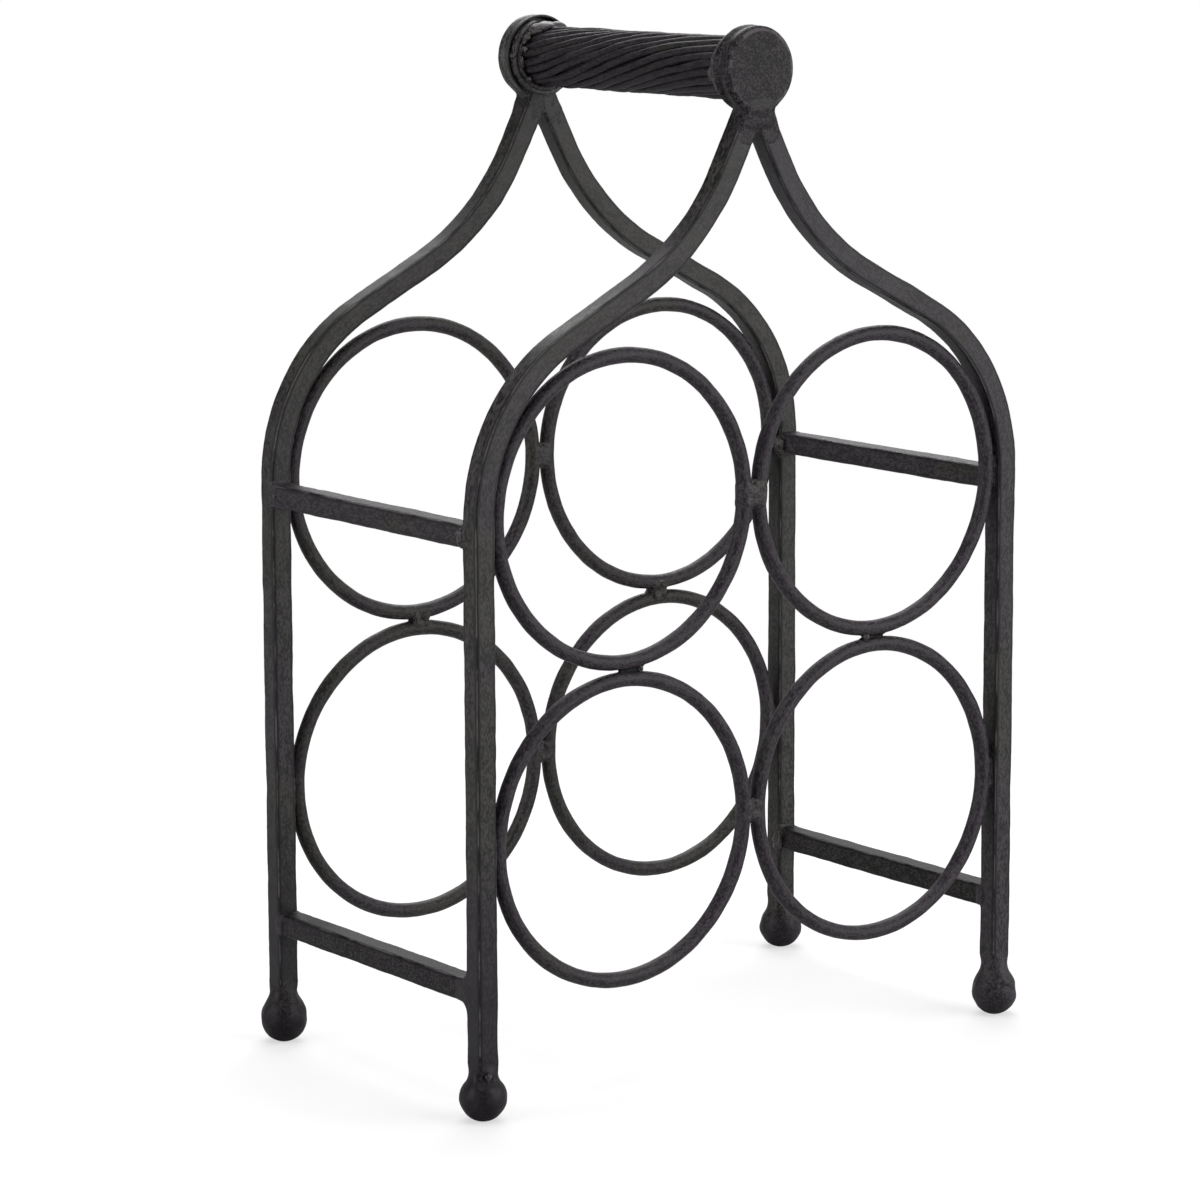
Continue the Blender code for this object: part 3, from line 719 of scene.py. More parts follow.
def ring_grid(side, front, height, seed):
    """Grid of a ring: a circle of the wire's radius carried round the ring's own circle."""
    around = full_turn(RING_ROWS)[:, None]
    angle = full_turn(WIRE_COLUMNS)
    out, over = np.cos(angle), np.sin(angle)
    outward = spun(out, around, over)
    circle = spun(ring_circle(height, np.sin(around)), around, 0.0)
    run = xyz(RING_RADIUS * around / RUN_SHORTENING, WIRE_RADIUS * out + seed, WIRE_RADIUS * over)
    points = worn(circle + WIRE_RADIUS * outward, outward, seed, amount=0.8)
    return points * (side, 1, 1) + (side * RING_X, front * LEG_Y, height), run


for number, (frame_name, front) in enumerate(FRAMES):
    for row, (row_name, height) in enumerate(ROWS):
        for side_name, side in SIDES:
            place = f"{frame_name}_{row_name}_{side_name}"
            points, run = ring_grid(side, front, height,
                                    SEEDS["ring"] + 8 * number + 4 * row + side)
            grid_object(f"{place}_ring", points, ring_paints[frame_name], [f"ring_{place}"], run,
                        closed=True)
print("points in a ring:", points.shape[0] * points.shape[1])

# %% [markdown]
# ## The cross bars
#
# Four short bars of the same section join the front legs to the back legs. The section is carried
# along Y, from face to face of the legs.
# %% Cut the cross bars
LEG_OVERLAP = 0.3 * MM


def cross_bar_height(side_name, row_name):
    """Height of a cross bar's middle."""
    low, high = node_box(f"cross_bar_{side_name}_{row_name}")
    return (low[2] + high[2]) / 2


def cross_bar_grid(side, height, seed):
    """Grid of a cross bar: the section at even steps from leg to leg."""
    reach = LEG_Y - HALF_BAR + LEG_OVERLAP
    along = np.arange(-reach, reach, ROW_STEP)[:, None]
    points = xyz(section[:, 0], along, section[:, 1]) + (side * LEG_X, 0, height)
    run = xyz(along / RUN_SHORTENING, section[:, 0] + seed, section[:, 1])
    return worn(points, xyz(section_out[:, 0], 0 * along, section_out[:, 1]), seed), run


for side_name, side in SIDES:
    for row_name, _ in ROWS:
        points, run = cross_bar_grid(side, cross_bar_height(side_name, row_name),
                                     SEEDS["cross bar"] + side + 4 * (row_name == "upper"))
        grid_object(f"{side_name}_{row_name}_cross_bar", points, cross_bar_paints[row_name],
                    [f"cross_bar_{side_name}_{row_name}"], run, section_corner)
print("rows in a cross bar:", len(points))

# %% [markdown]
# ## The caps and their collars
#
# Each neck carries a round cap. Its face is flat with a soft lip, its side has a shallow groove
# and flares to a rim, and it is open towards the handle. A thick collar sits in the mouth round
# the wires, bent from a strip that doesn't quite close at the top.
#
# Both come from an outline of a few points. It is sampled at even steps, and a running mean
# rounds its corners. The lip of the front cap and the rim of the back one carry a pale line,
# partly rubbed paint and partly a painted highlight.
# %% Turn the caps
OUTLINE_STEP = 0.12 * MM
CAP_COLUMNS = 168
CAP_LIP = 14.5 * MM
CAP_GROOVE = 13.85 * MM
CAP_RIM = CAP_RADIUS - 0.1 * MM
CAP_BORE = 13.9 * MM
CAP_BEVEL = 1.3 * MM
DISC_THICKNESS = 3.0 * MM
CENTRE_FADE = 2 * MM


def soft_line(corners, blur):
    """Points at even steps along straight lines, with the corners rounded by a running mean."""
    corners = np.array(corners)
    length = np.concatenate(([0], np.cumsum(np.hypot(*np.diff(corners, axis=0).T))))
    steps = np.linspace(0, length[-1], int(length[-1] / OUTLINE_STEP))
    line = np.column_stack([np.interp(steps, length, corners[:, axis]) for axis in (0, 1)])
    width = max(1, int(blur / OUTLINE_STEP))
    padded = np.pad(line, ((width, width), (0, 0)), mode="edge")
    window = np.ones(2 * width + 1) / (2 * width + 1)
    soft = np.column_stack([np.convolve(padded[:, axis], window, "valid") for axis in (0, 1)])
    soft[0], soft[-1] = line[0], line[-1]
    return soft


def turned_grid(outline, front, columns, seed, amount=1.0, start=0.0, stop=2 * np.pi):
    """Grid of an outline (radius, depth behind the cap's face) turned round the handle's axis."""
    angle = np.linspace(start, stop, columns, endpoint=stop - start < 2 * np.pi - 0.001)
    radius, depth = outline[:, :1], outline[:, 1:]
    slope = np.gradient(outline, axis=0)
    slope /= np.linalg.norm(slope, axis=1, keepdims=True) + 1e-9
    outward = spun(slope[:, 1:], angle, front * slope[:, :1])
    fade = np.clip(radius / CENTRE_FADE, 0, 1)[..., None]
    points = spun(radius, angle, front * (CAP_FACE_Y - depth))
    return worn(points, outward * fade, seed, amount) + (0, 0, HANDLE_Z)


cap_outline = soft_line([(0, 0.05 * MM), (CAP_LIP - CAP_BEVEL, 0), (CAP_LIP, CAP_BEVEL),
                         (CAP_LIP, 3.0 * MM), (CAP_GROOVE, 4.4 * MM), (CAP_GROOVE, 5.0 * MM),
                         (CAP_RIM, 6.6 * MM), (CAP_RIM, CAP_DEPTH - 0.2 * MM),
                         (CAP_RIM - 0.4 * MM, CAP_DEPTH), (CAP_BORE, CAP_DEPTH),
                         (CAP_BORE, DISC_THICKNESS), (0, DISC_THICKNESS)], 0.5 * MM)
rim_corner = np.hypot(*(cap_outline - (CAP_RIM, CAP_DEPTH)).T)[:, None]
lip_corner = np.hypot(*(cap_outline - (CAP_LIP - CAP_BEVEL, 0)).T)[:, None] - CORNER_SLACK
for number, (frame_name, front) in enumerate(FRAMES):
    points = turned_grid(cap_outline, front, CAP_COLUMNS, SEEDS["cap"] + number, amount=0.8)
    paint, corner = (disc_paint, lip_corner) if front < 0 else (cap_paint, rim_corner)
    grid_object(f"{frame_name}_cap", points, paint, [f"end_cap_{frame_name}"], corner=corner)
print("steps in the cap's outline:", len(cap_outline))

# %% [markdown]
# The collar's strip is a small outline of its own, carried most of the way round. Its two ends
# are left open at the top, where the recess of the cap shows behind the wires.
# %% Bend the collars
COLLAR_INNER = 12.1 * MM
COLLAR_OUTER = 13.3 * MM
COLLAR_PROUD = 2.7 * MM
COLLAR_START = math.radians(107)
COLLAR_STOP = math.radians(55 + 360)
COLLAR_COLUMNS = 120


def collar_grid(front, seed):
    """Grid of a collar: rows go along its arc, and columns round every third point of its strip."""
    top = CAP_DEPTH + COLLAR_PROUD
    base = DISC_THICKNESS - 0.3 * MM
    strip = soft_line([(COLLAR_OUTER, base), (COLLAR_OUTER, top), (COLLAR_INNER, top),
                       (COLLAR_INNER, base)], 0.4 * MM)[::3]
    points = turned_grid(strip, front, COLLAR_COLUMNS, seed, amount=1.6, start=COLLAR_START,
                         stop=COLLAR_STOP)
    return np.swapaxes(points, 0, 1)


for number, (frame_name, front) in enumerate(FRAMES):
    points = collar_grid(front, SEEDS["collar"] + number)
    grid_object(f"{frame_name}_collar", points, cap_paint, [f"collar_{frame_name}"])
print("columns in a collar:", points.shape[1])

# %% [markdown]
# ## The twisted handle
#
# The handle is a bundle of 21 wires, twisted together by less than half a turn. Near the caps
# they run almost straight, and past the middle they turn fastest. The rate of turn is the sine of
# a skewed station, raised to a power, and the turn is its running sum. The wires don't lie quite
# evenly: one groove is wider, and each wire wanders a little on its way.
# %% Twist the wires
STRAND_COUNT = 21
STRAND_CIRCLE_RADIUS = 9.35 * MM
STRAND_RADIUS = 1.36 * MM
STRAND_SIDE_RADIUS = 1.44 * MM
TWIST = math.radians(150)
TWIST_SKEW = 1.4
TWIST_EASE = 0.6
WIDE_GROOVE_ANGLE = math.radians(123.1)
WIDE_GROOVE = math.radians(2.5)
STRAND_ROWS, STRAND_COLUMNS = 230, 18
ROD_ROWS, ROD_COLUMNS = 60, 48
TWIST_STEPS = 2000
WANDER_SHARE, WANDER_LENGTH = 0.18, 24 * MM
LIFT, LIFT_LENGTH = 0.12 * MM, 30 * MM
WIRE_END_Y = CAP_FACE_Y - DISC_THICKNESS - SEAT_GAP


def twist_at(share):
    """Turn of the bundle at a share of its length, from 0 to 1."""
    fine = np.linspace(0, 1, TWIST_STEPS)
    rate = np.sin(np.pi * fine ** TWIST_SKEW).clip(0) ** TWIST_EASE
    total = np.cumsum(rate)
    return TWIST * np.interp(share, fine, total / total[-1])


def strand_grid(index):
    """Grid of one wire: a flattened circle carried along its turn round the handle's axis."""
    share = np.linspace(0, 1, STRAND_ROWS)[:, None]
    along = (2 * share - 1) * WIRE_END_Y
    seed = SEEDS["wire"] + 5 * index
    path = np.column_stack((along, 0 * along, 0 * along)) + index
    wander = WANDER_SHARE * ripples(path, WANDER_LENGTH, seed)[:, None]
    pitch = (2 * np.pi - WIDE_GROOVE) / STRAND_COUNT
    place = (WIDE_GROOVE_ANGLE + WIDE_GROOVE / 2 + (index + 0.5) * pitch + twist_at(share)
             + wander * MM / STRAND_CIRCLE_RADIUS)
    lift = STRAND_CIRCLE_RADIUS + LIFT * ripples(path, LIFT_LENGTH, seed + 1)[:, None]
    angle = full_turn(STRAND_COLUMNS)
    out, over = STRAND_RADIUS * np.cos(angle), STRAND_SIDE_RADIUS * np.sin(angle)
    points = xyz((lift + out) * np.cos(place) - over * np.sin(place), along,
                 (lift + out) * np.sin(place) + over * np.cos(place))
    points = worn(points, spun(1.0, angle + place, 0 * along), seed + 2, amount=1.1)
    return points + (0, 0, HANDLE_Z), xyz(along / RUN_SHORTENING, out + seed, over)


for index in range(STRAND_COUNT):
    points, run = strand_grid(index)
    grid_object(f"handle_wire_{index + 1:02d}", points, wire_paint,
                [f"handle_strand_{index + 1:02d}"], run)

low, high = node_box("handle_core")
along = np.linspace(-WIRE_END_Y, WIRE_END_Y, ROD_ROWS)[:, None]
rod = spun((high[0] - low[0]) / 2, full_turn(ROD_COLUMNS), along) + (0, 0, HANDLE_Z)
grid_object("handle_rod", rod, wire_paint, ["handle_core"])
print("rows in a wire:", len(points))

# %% [markdown]
# ## Welds found by marching rays
#
# A weld is a lump that runs out in hollow fillets onto the metal it joins. Such a blend is easy
# to say as a distance: how far a point is from each of the joined pieces and from the lump. A
# smooth minimum of these distances is zero on the blended surface, because where two of them are
# about equal it is a little less than either.
#
# The mesh is found from the lump's middle. Along a ray in every direction, the surface is where
# the blended distance first changes sign, stepped out coarsely and then halved again and again.
# A little away from the weld's own core the distance is raised, so that the surface sinks into
# the pieces it joins.
# %% March the rays
RAY_ROWS, RAY_COLUMNS = 60, 96
RAY_STEPS = 60
HALVINGS = 12
WELD_PROUD = 0.03 * MM
WELD_SINK = 6 * MM
BEAD_LENGTH = 3.6 * MM


def smooth_min(first, second, reach):
    """The smaller of two distances, less (reach - difference) squared / (4 reach) near equality."""
    near = np.clip(reach - np.abs(first - second), 0, None)
    return np.minimum(first, second) - near ** 2 / (4 * reach)


def slab(across, along):
    """Distance to a shape with two bounds: negative inside both, round at the shared edge."""
    outside = np.hypot(np.clip(across, 0, None), np.clip(along, 0, None))
    return outside + np.minimum(np.maximum(across, along), 0)


def lump(points, middle, sizes):
    """Rough distance to an ellipsoid with the given half sizes."""
    scaled = np.linalg.norm((points - middle) / sizes, axis=-1)
    return (scaled - 1) * min(sizes)


def pad(points, middle, sizes, rounding):
    """Distance to a box with round edges."""
    beyond = np.abs(points - middle) - np.array(sizes) + rounding
    outside = np.linalg.norm(np.clip(beyond, 0, None), axis=-1)
    return outside + np.minimum(beyond.max(axis=-1), 0) - rounding


def ring_distance(points, side, front, height):
    """Distance to one of the wire rings."""
    radius = np.hypot(points[..., 0] - side * RING_X, points[..., 2] - height)
    from_circle = radius - ring_circle(height, (points[..., 2] - height) / radius)
    return np.hypot(from_circle, points[..., 1] - front * LEG_Y) - WIRE_RADIUS


def leg_distance(points, side, front):
    """Distance to one of the straight legs, with its round corners."""
    across = np.abs(points[..., 0] - side * LEG_X) - HALF_BAR + BAR_ROUND
    along = np.abs(points[..., 1] - front * LEG_Y) - HALF_BAR + BAR_ROUND
    return slab(across, along) - BAR_ROUND


def marched(name, middle, distance, core, paint, nodes=(), limit=11 * MM, reach=0.8 * MM,
            fade=2.5 * MM, rough=0.06, seed=0):
    """A weld round its middle, found along rays of the given limit.

    The core gives how far a point is from the weld's body. From reach on, over fade, the surface
    sinks by the square of the share. Rough is the depth of its unevenness in millimetres.
    """
    polar = np.linspace(0, np.pi, RAY_ROWS)[:, None]
    rays = spun(np.sin(polar), full_turn(RAY_COLUMNS), np.cos(polar))

    def height(length):
        points = middle + rays * length[..., None]
        sunk = np.clip((core(points) - reach) / fade, 0, 1)
        beads = rough * MM * ripples(points, BEAD_LENGTH, seed) * (1 - sunk)
        return distance(points) - WELD_PROUD * (1 - 3 * sunk) + WELD_SINK * sunk ** 2 - beads

    far = np.full((RAY_ROWS, RAY_COLUMNS), limit)
    found = np.zeros(far.shape, dtype=bool)
    step = limit / RAY_STEPS
    for count in range(1, RAY_STEPS + 1):
        length = np.full(far.shape, count * step)
        crossed = ~found & (height(length) > 0)
        far[crossed] = count * step
        found |= crossed
    near = far - step
    for _ in range(HALVINGS):
        half = (near + far) / 2
        outside = height(half) > 0
        far = np.where(outside, half, far)
        near = np.where(outside, near, half)
    grid_object(name, middle + rays * far[..., None], paint, nodes)


# %% [markdown]
# ## Welds between rings
#
# Side by side, two rings touch, and weld fills the space between their wires. On the upper front
# pair it is a whole pad that lies flush with both wires. One above the other the rings stand a
# little apart. In front a thin seam joins them, and at the back a short stub with a bead on it.
# The tables give half sizes, shifts to the right, and the beads' places, in millimetres.
# %% Weld the rings
STACK_Z = (UPPER_RING_Z + LOWER_RING_Z) / 2
SIDE_WELDS = {("front", "upper"): (5.2, 2.95, 4.2), ("front", "lower"): (2.6, 2.5, 3.4),
              ("back", "upper"): (3.0, 2.7, 3.9), ("back", "lower"): (2.4, 2.4, 3.2)}
STACK_WELDS = {("front", "left"): (4.7, 0.8, 0.9), ("front", "right"): (4.4, 0.8, 0.9),
               ("back", "left"): (3.2, 2.8, 2.6), ("back", "right"): (3.3, 2.9, 2.9)}
STACK_SHIFTS = {("front", "left"): 2.8, ("front", "right"): -0.5,
                ("back", "left"): 1.1, ("back", "right"): -1.4}
STACK_BEADS = {("front", "left"): (3.6, 0.2), ("front", "right"): (-3.0, 0.0),
               ("back", "left"): (0.4, 1.6), ("back", "right"): (0.4, 2.6)}
SIDE_BLEND = 1.2 * MM
STACK_BLEND = {"front": 0.6 * MM, "back": 1.2 * MM}
BEAD_SIZE = 1.25 * MM
BEAD_BLEND = 0.6 * MM
PAD_ROUNDING = 0.6


def ring_pair(first, second, middle, sizes, bead, blend):
    """Distances to two rings blended with a pad and a small bead, and to the pad alone."""
    def core(points):
        return pad(points, middle, sizes, min(sizes) * PAD_ROUNDING)

    def distance(points):
        rings = np.minimum(ring_distance(points, *first), ring_distance(points, *second))
        weld = smooth_min(rings, core(points), blend)
        return smooth_min(weld, lump(points, bead, (BEAD_SIZE,) * 3), BEAD_BLEND)
    return distance, core


for number, (frame_name, front) in enumerate(FRAMES):
    for row_name, height in ROWS:
        sizes = np.array(SIDE_WELDS[frame_name, row_name]) * MM
        middle = np.array([0, front * LEG_Y, height])
        bead = middle + (0.8 * MM, -(WIRE_RADIUS - 0.9 * MM), sizes[2] - 0.4 * MM)
        pair = ring_pair((-1, front, height), (1, front, height), middle, sizes, bead,
                         SIDE_BLEND)
        marched(f"{frame_name}_{row_name}_ring_weld", middle, *pair, weld_paint,
                [f"ring_weld_{frame_name}_{row_name}"],
                seed=SEEDS["side weld"] + number + (row_name == "upper") * 5)
    for side_name, side in SIDES:
        sizes = np.array(STACK_WELDS[frame_name, side_name]) * MM
        along, rise = (part * MM for part in STACK_BEADS[frame_name, side_name])
        shift = STACK_SHIFTS[frame_name, side_name] * MM
        middle = np.array([side * RING_X + shift, front * LEG_Y, STACK_Z])
        bead = middle + (along, -sizes[1] + 0.3 * MM, rise)
        pair = ring_pair((side, front, UPPER_RING_Z), (side, front, LOWER_RING_Z), middle,
                         sizes, bead, STACK_BLEND[frame_name])
        paint = seam_paint if frame_name == "front" else weld_paint
        marched(f"{frame_name}_{side_name}_ring_weld", middle, *pair, paint,
                [f"ring_weld_{frame_name}_{side_name}"], rough=0.16,
                seed=SEEDS["stack weld"] + number + side * 3)
print("rays in a weld:", RAY_ROWS * RAY_COLUMNS)

# %% [markdown]
# ## Welds at the legs
#
# Each ring is welded to the leg beside it, and each cross bar to the legs at its ends. The cross
# bar's corner is blended as a flat outline, seen from the side, and only then given its width, so
# that the fillets stay between the bar's outer faces.
# %% Weld the legs
SEAM_SIZES = (1.3 * MM, 1.7 * MM, 5.5 * MM)
SEAM_ROUND = 1.1 * MM
SEAM_BLEND = 0.8 * MM
SEAM_DROP = 1 * MM
CORNER_BLEND = 0.8 * MM
CORNER_BEAD = (1.0 * MM, 2.6 * MM, 2.8 * MM)
CORNER_BEAD_BLEND = 0.9 * MM
FILLED_CORNER = "front_lower_left"
FILLED_BLEND = 5.0 * MM


def ring_at_leg(side, front, height, middle):
    """Distances to a ring and a leg with a thin seam between them, and to the seam alone."""
    def core(points):
        return pad(points, middle, SEAM_SIZES, SEAM_ROUND)

    def distance(points):
        metal = np.minimum(ring_distance(points, side, front, height),
                           leg_distance(points, side, front))
        return smooth_min(metal, core(points), SEAM_BLEND)
    return distance, core


def cross_bar_at_leg(side, front, height, blend):
    """Distances to a leg and a cross bar with filled corners, and to a box round the joint.

    A round bead stands out on each side. Folding space at the bar's middle plane makes both.
    """
    def core(points):
        middle = (side * LEG_X, front * (LEG_Y - HALF_BAR), height)
        return pad(points, middle, (HALF_BAR + MM, blend, HALF_BAR + 0.8 * blend), 0.5 * MM)

    def distance(points):
        from_leg = np.abs(points[..., 1] - front * LEG_Y) - HALF_BAR
        beyond = front * points[..., 1] - LEG_Y
        from_bar = np.maximum(np.abs(points[..., 2] - height) - HALF_BAR, beyond)
        outline = smooth_min(from_leg, from_bar, blend)
        across = np.abs(points[..., 0] - side * LEG_X)
        metal = slab(outline + BAR_ROUND, across - HALF_BAR + BAR_ROUND) - BAR_ROUND
        folded = xyz(across, points[..., 1], points[..., 2])
        middle = (HALF_BAR - 0.5 * MM, front * (LEG_Y - HALF_BAR), height)
        return smooth_min(metal, lump(folded, middle, CORNER_BEAD), CORNER_BEAD_BLEND)
    return distance, core


for number, frame_name, front, side_name, side in PLACES:
    for row_name, height in ROWS:
        place = f"{frame_name}_{row_name}_{side_name}"
        seed = 7 * number + side
        middle = np.array([side * (LEG_X - HALF_BAR), front * LEG_Y, height - SEAM_DROP])
        marched(f"{place}_leg_weld", middle, *ring_at_leg(side, front, height, middle), weld_paint,
                reach=0.3 * MM, fade=1.2 * MM,
                seed=SEEDS["leg weld"] + seed + 3 * (row_name == "upper"))
        middle = np.array([side * LEG_X, front * (LEG_Y - HALF_BAR),
                           cross_bar_height(side_name, row_name)])
        blend = FILLED_BLEND if place == FILLED_CORNER else CORNER_BLEND
        marched(f"{place}_corner_weld", middle,
                *cross_bar_at_leg(side, front, middle[2], blend),
                bar_paints[frame_name, side_name], rough=0.04, seed=SEEDS["corner weld"] + seed)
print("welds at the legs:", 2 * len(PLACES) * len(ROWS))

# %% [markdown]
# At a few places the welder left a round lump standing, with a crease round it: inside the back
# right leg at both cross bars, outside the front left leg at the upper one, on the neck of the
# front left foot, and at the ends of the seams between the front rings, with a small burr where
# the front left ring leaves its leg. Each is an ellipsoid with an uneven radius.
# %% Leave the lumps
LUMP_ROWS, LUMP_COLUMNS = 28, 44
LUMP_WAVES = ((0.09, 2.2), (0.05, 0.9))
LUMPS = {"back_right_upper_lump": ((LEG_X - HALF_BAR - 0.7 * MM, LEG_Y - HALF_BAR, 194.8 * MM),
                                   (2.2 * MM, 2.9 * MM, 3.2 * MM)),
         "back_right_lower_lump": ((LEG_X - HALF_BAR - 0.6 * MM, LEG_Y - HALF_BAR, 42.5 * MM),
                                   (2.0 * MM, 2.8 * MM, 3.0 * MM)),
         "front_left_upper_lump": ((-LEG_X - HALF_BAR, HALF_BAR - LEG_Y + 1.0 * MM, 196.0 * MM),
                                   (1.2 * MM, 2.0 * MM, 2.6 * MM)),
         "front_left_ring_burr": ((HALF_BAR - LEG_X + 0.4 * MM, -LEG_Y - 1.0 * MM, 183.0 * MM),
                                  (0.9 * MM, 1.2 * MM, 1.8 * MM)),
         "front_left_foot_bead": ((-LEG_X - 1.15 * MM, -LEG_Y - 4.9 * MM, 15.8 * MM),
                                  (1.0 * MM, 0.9 * MM, 1.2 * MM)),
         "front_right_stack_bead": ((RING_X - 4.4 * MM, -LEG_Y - 0.9 * MM, STACK_Z + 0.2 * MM),
                                    (1.2 * MM, 1.3 * MM, 1.3 * MM)),
         "front_left_stack_bead": ((-RING_X + 6.6 * MM, -LEG_Y - 0.5 * MM, STACK_Z + 0.1 * MM),
                                   (1.1 * MM, 1.4 * MM, 1.5 * MM))}


def lump_grid(sizes, seed):
    """Grid of a lump round the origin: directions times an uneven radius times three sizes."""
    polar = np.linspace(0, np.pi, LUMP_ROWS)[:, None]
    turn = full_turn(LUMP_COLUMNS)
    ways = xyz(np.sin(polar) * np.cos(turn), np.sin(polar) * np.sin(turn), np.cos(polar))
    return ways * waves(ways, LUMP_WAVES, seed, total=1.0)[..., None] * sizes


for seed, (name, (middle, sizes)) in enumerate(LUMPS.items(), start=SEEDS["lump"]):
    grid_object(name, lump_grid(sizes, seed) + middle, lump_paint)
print("lumps:", len(LUMPS))

# %% [markdown]
# ## Welds at the necks
#
# Under each cap the two bars of a frame run together. Weld fills the sharp V between them, and
# hollow fillets lead from the bars to the cap. The bars are blended as a flat outline first, as
# at the cross bars. Folding space at the middle plane makes the left bar from the right one.
# %% Weld the necks
NECK_FILL = 2 * MM
CAP_BLEND = 1.5 * MM
NECK_WELD_DROP = 3.0 * MM
NECK_CORE = (7 * MM, 5.2 * MM, 5.5 * MM)
NECK_CORE_ROUND = 2 * MM
FACE_STEP = CAP_FACE_Y - LEG_Y - HALF_BAR
FLUSH_FROM = HANDLE_Z - CAP_LIP - 8 * MM
FLUSH_TO = HANDLE_Z - CAP_LIP + 1.2 * MM
STRAIGHT_X, STRAIGHT_Z = (line[-1] for line in bar_line()[1:3])


def neck_outline(points, fold):
    """Distance in the XZ plane to the straight end of the bar on one side."""
    x = (fold * points[..., 0] - STRAIGHT_X) * math.cos(NECK_STRAIGHT_LEAN)
    z = (points[..., 2] - STRAIGHT_Z) * math.sin(NECK_STRAIGHT_LEAN)
    return np.abs(x + z) - HALF_BAR


def neck_distance(front, middle):
    """Distances to the bars blended with the cap, and to the core.

    On their outer side the bars grow thicker towards the cap, until they are flush with its face.
    """
    def core(points):
        return pad(points, middle, NECK_CORE, NECK_CORE_ROUND)

    def distance(points):
        outline = smooth_min(neck_outline(points, 1), neck_outline(points, -1), NECK_FILL)
        rise = np.clip((points[..., 2] - FLUSH_FROM) / (FLUSH_TO - FLUSH_FROM), 0, 1)
        across = front * points[..., 1] - LEG_Y
        width = np.maximum(across - FACE_STEP * rise ** 2 * (3 - 2 * rise), -across) - HALF_BAR
        bars = slab(outline + BAR_ROUND, width + BAR_ROUND) - BAR_ROUND
        round_side = np.hypot(points[..., 0], points[..., 2] - HANDLE_Z) - CAP_LIP
        middle_y = front * (CAP_FACE_Y - CAP_DEPTH / 2)
        thickness = np.abs(points[..., 1] - middle_y) - CAP_DEPTH / 2
        cap = slab(round_side + CAP_BEVEL, thickness + CAP_BEVEL) - CAP_BEVEL
        return smooth_min(bars, cap, CAP_BLEND)
    return distance, core


for number, (frame_name, front) in enumerate(FRAMES):
    middle = np.array([0, front * LEG_Y, HANDLE_Z - CAP_RADIUS - NECK_WELD_DROP])
    marched(f"{frame_name}_neck_weld_bead", middle, *neck_distance(front, middle), neck_paint,
            [f"neck_weld_{frame_name}"], limit=16 * MM, fade=8 * MM, rough=0.05,
            seed=SEEDS["neck weld"] + number)
print("neck welds:", len(FRAMES))

# %% [markdown]
# ## The welds in the caps' mouths
#
# Between the collar and the wires lies a rough bead of weld, a ring of uneven thickness. On it
# stand lumps where the welder stayed longer: a large one over the top of the wires at the back,
# and small ones beside them. A lump is the same ellipsoid as before, bent round the handle. The
# table gives its angle in degrees, and its radius, depth and half sizes in millimetres.
# %% Fill the mouths
BEAD_CIRCLE = 11.2 * MM
BEAD_RADIUS = 1.0 * MM
BEAD_DEPTH = 10.2 * MM
BEAD_ROWS, BEAD_COLUMNS = 300, 28
BEAD_SWELL, SWELL_LENGTH = 0.2, 6 * MM
BEAD_FLATTENING = 1.15
BEAD_DENTS, BEAD_DENT_LENGTH = 0.14 * MM, 2.8 * MM
MOUTH_LUMPS = {
    "front": ((188, 12.0, 11.8, (2.3, 1.7, 1.5)), (163, 11.6, 11.2, (1.7, 1.4, 1.2))),
    "back": ((100, 10.9, 13.2, (5.4, 3.9, 2.1)), (76, 10.9, 14.2, (4.2, 2.5, 1.4)),
             (121, 11.4, 12.2, (2.9, 2.6, 1.5)), (144, 11.5, 11.7, (2.5, 1.5, 1.0)),
             (165, 11.2, 12.2, (1.1, 1.8, 0.8)), (187, 11.4, 11.6, (2.1, 1.1, 0.8)),
             (222, 11.2, 11.9, (0.9, 1.3, 0.7)), (177, 13.5, 8.6, (0.9, 1.9, 0.8)))}


def bead_grid(front, seed):
    """Grid of a bead: a circle of uneven radius carried round a circle."""
    around = full_turn(BEAD_ROWS)[:, None]
    angle = full_turn(BEAD_COLUMNS)
    swell = ripples(spun(BEAD_CIRCLE, around, 0.0), SWELL_LENGTH, seed)
    bead = BEAD_RADIUS * (1 + BEAD_SWELL * swell)
    out, over = bead * np.cos(angle), BEAD_FLATTENING * bead * np.sin(angle)
    points = spun(BEAD_CIRCLE + out, around, front * (CAP_FACE_Y - BEAD_DEPTH) + over)
    points = points + (0, 0, HANDLE_Z)
    dents = BEAD_DENTS * ripples(points, BEAD_DENT_LENGTH, seed + 1)
    return points + spun(np.cos(angle), around, np.sin(angle)) * dents[..., None]


def bent_lump(front, degrees, radius, depth, sizes, seed):
    """Grid of a lump bent round the handle: its length becomes an angle, its height a radius."""
    local = lump_grid(np.array(sizes) * MM, seed)
    angle = math.radians(degrees) + local[..., 0] / (radius * MM)
    along = front * (CAP_FACE_Y - depth * MM) + local[..., 1]
    return spun(radius * MM + local[..., 2], angle, along) + (0, 0, HANDLE_Z)


for number, (frame_name, front) in enumerate(FRAMES):
    grid_object(f"{frame_name}_mouth_weld", bead_grid(front, SEEDS["mouth weld"] + number),
                weld_paint, closed=True)
    for index, shape in enumerate(MOUTH_LUMPS[frame_name], start=1):
        points = bent_lump(front, *shape, seed=SEEDS["mouth lump"] + 20 * number + 2 * index)
        grid_object(f"{frame_name}_mouth_lump_{index}", points, lump_paint)
print("mouth lumps:", sum(len(shapes) for shapes in MOUTH_LUMPS.values()))

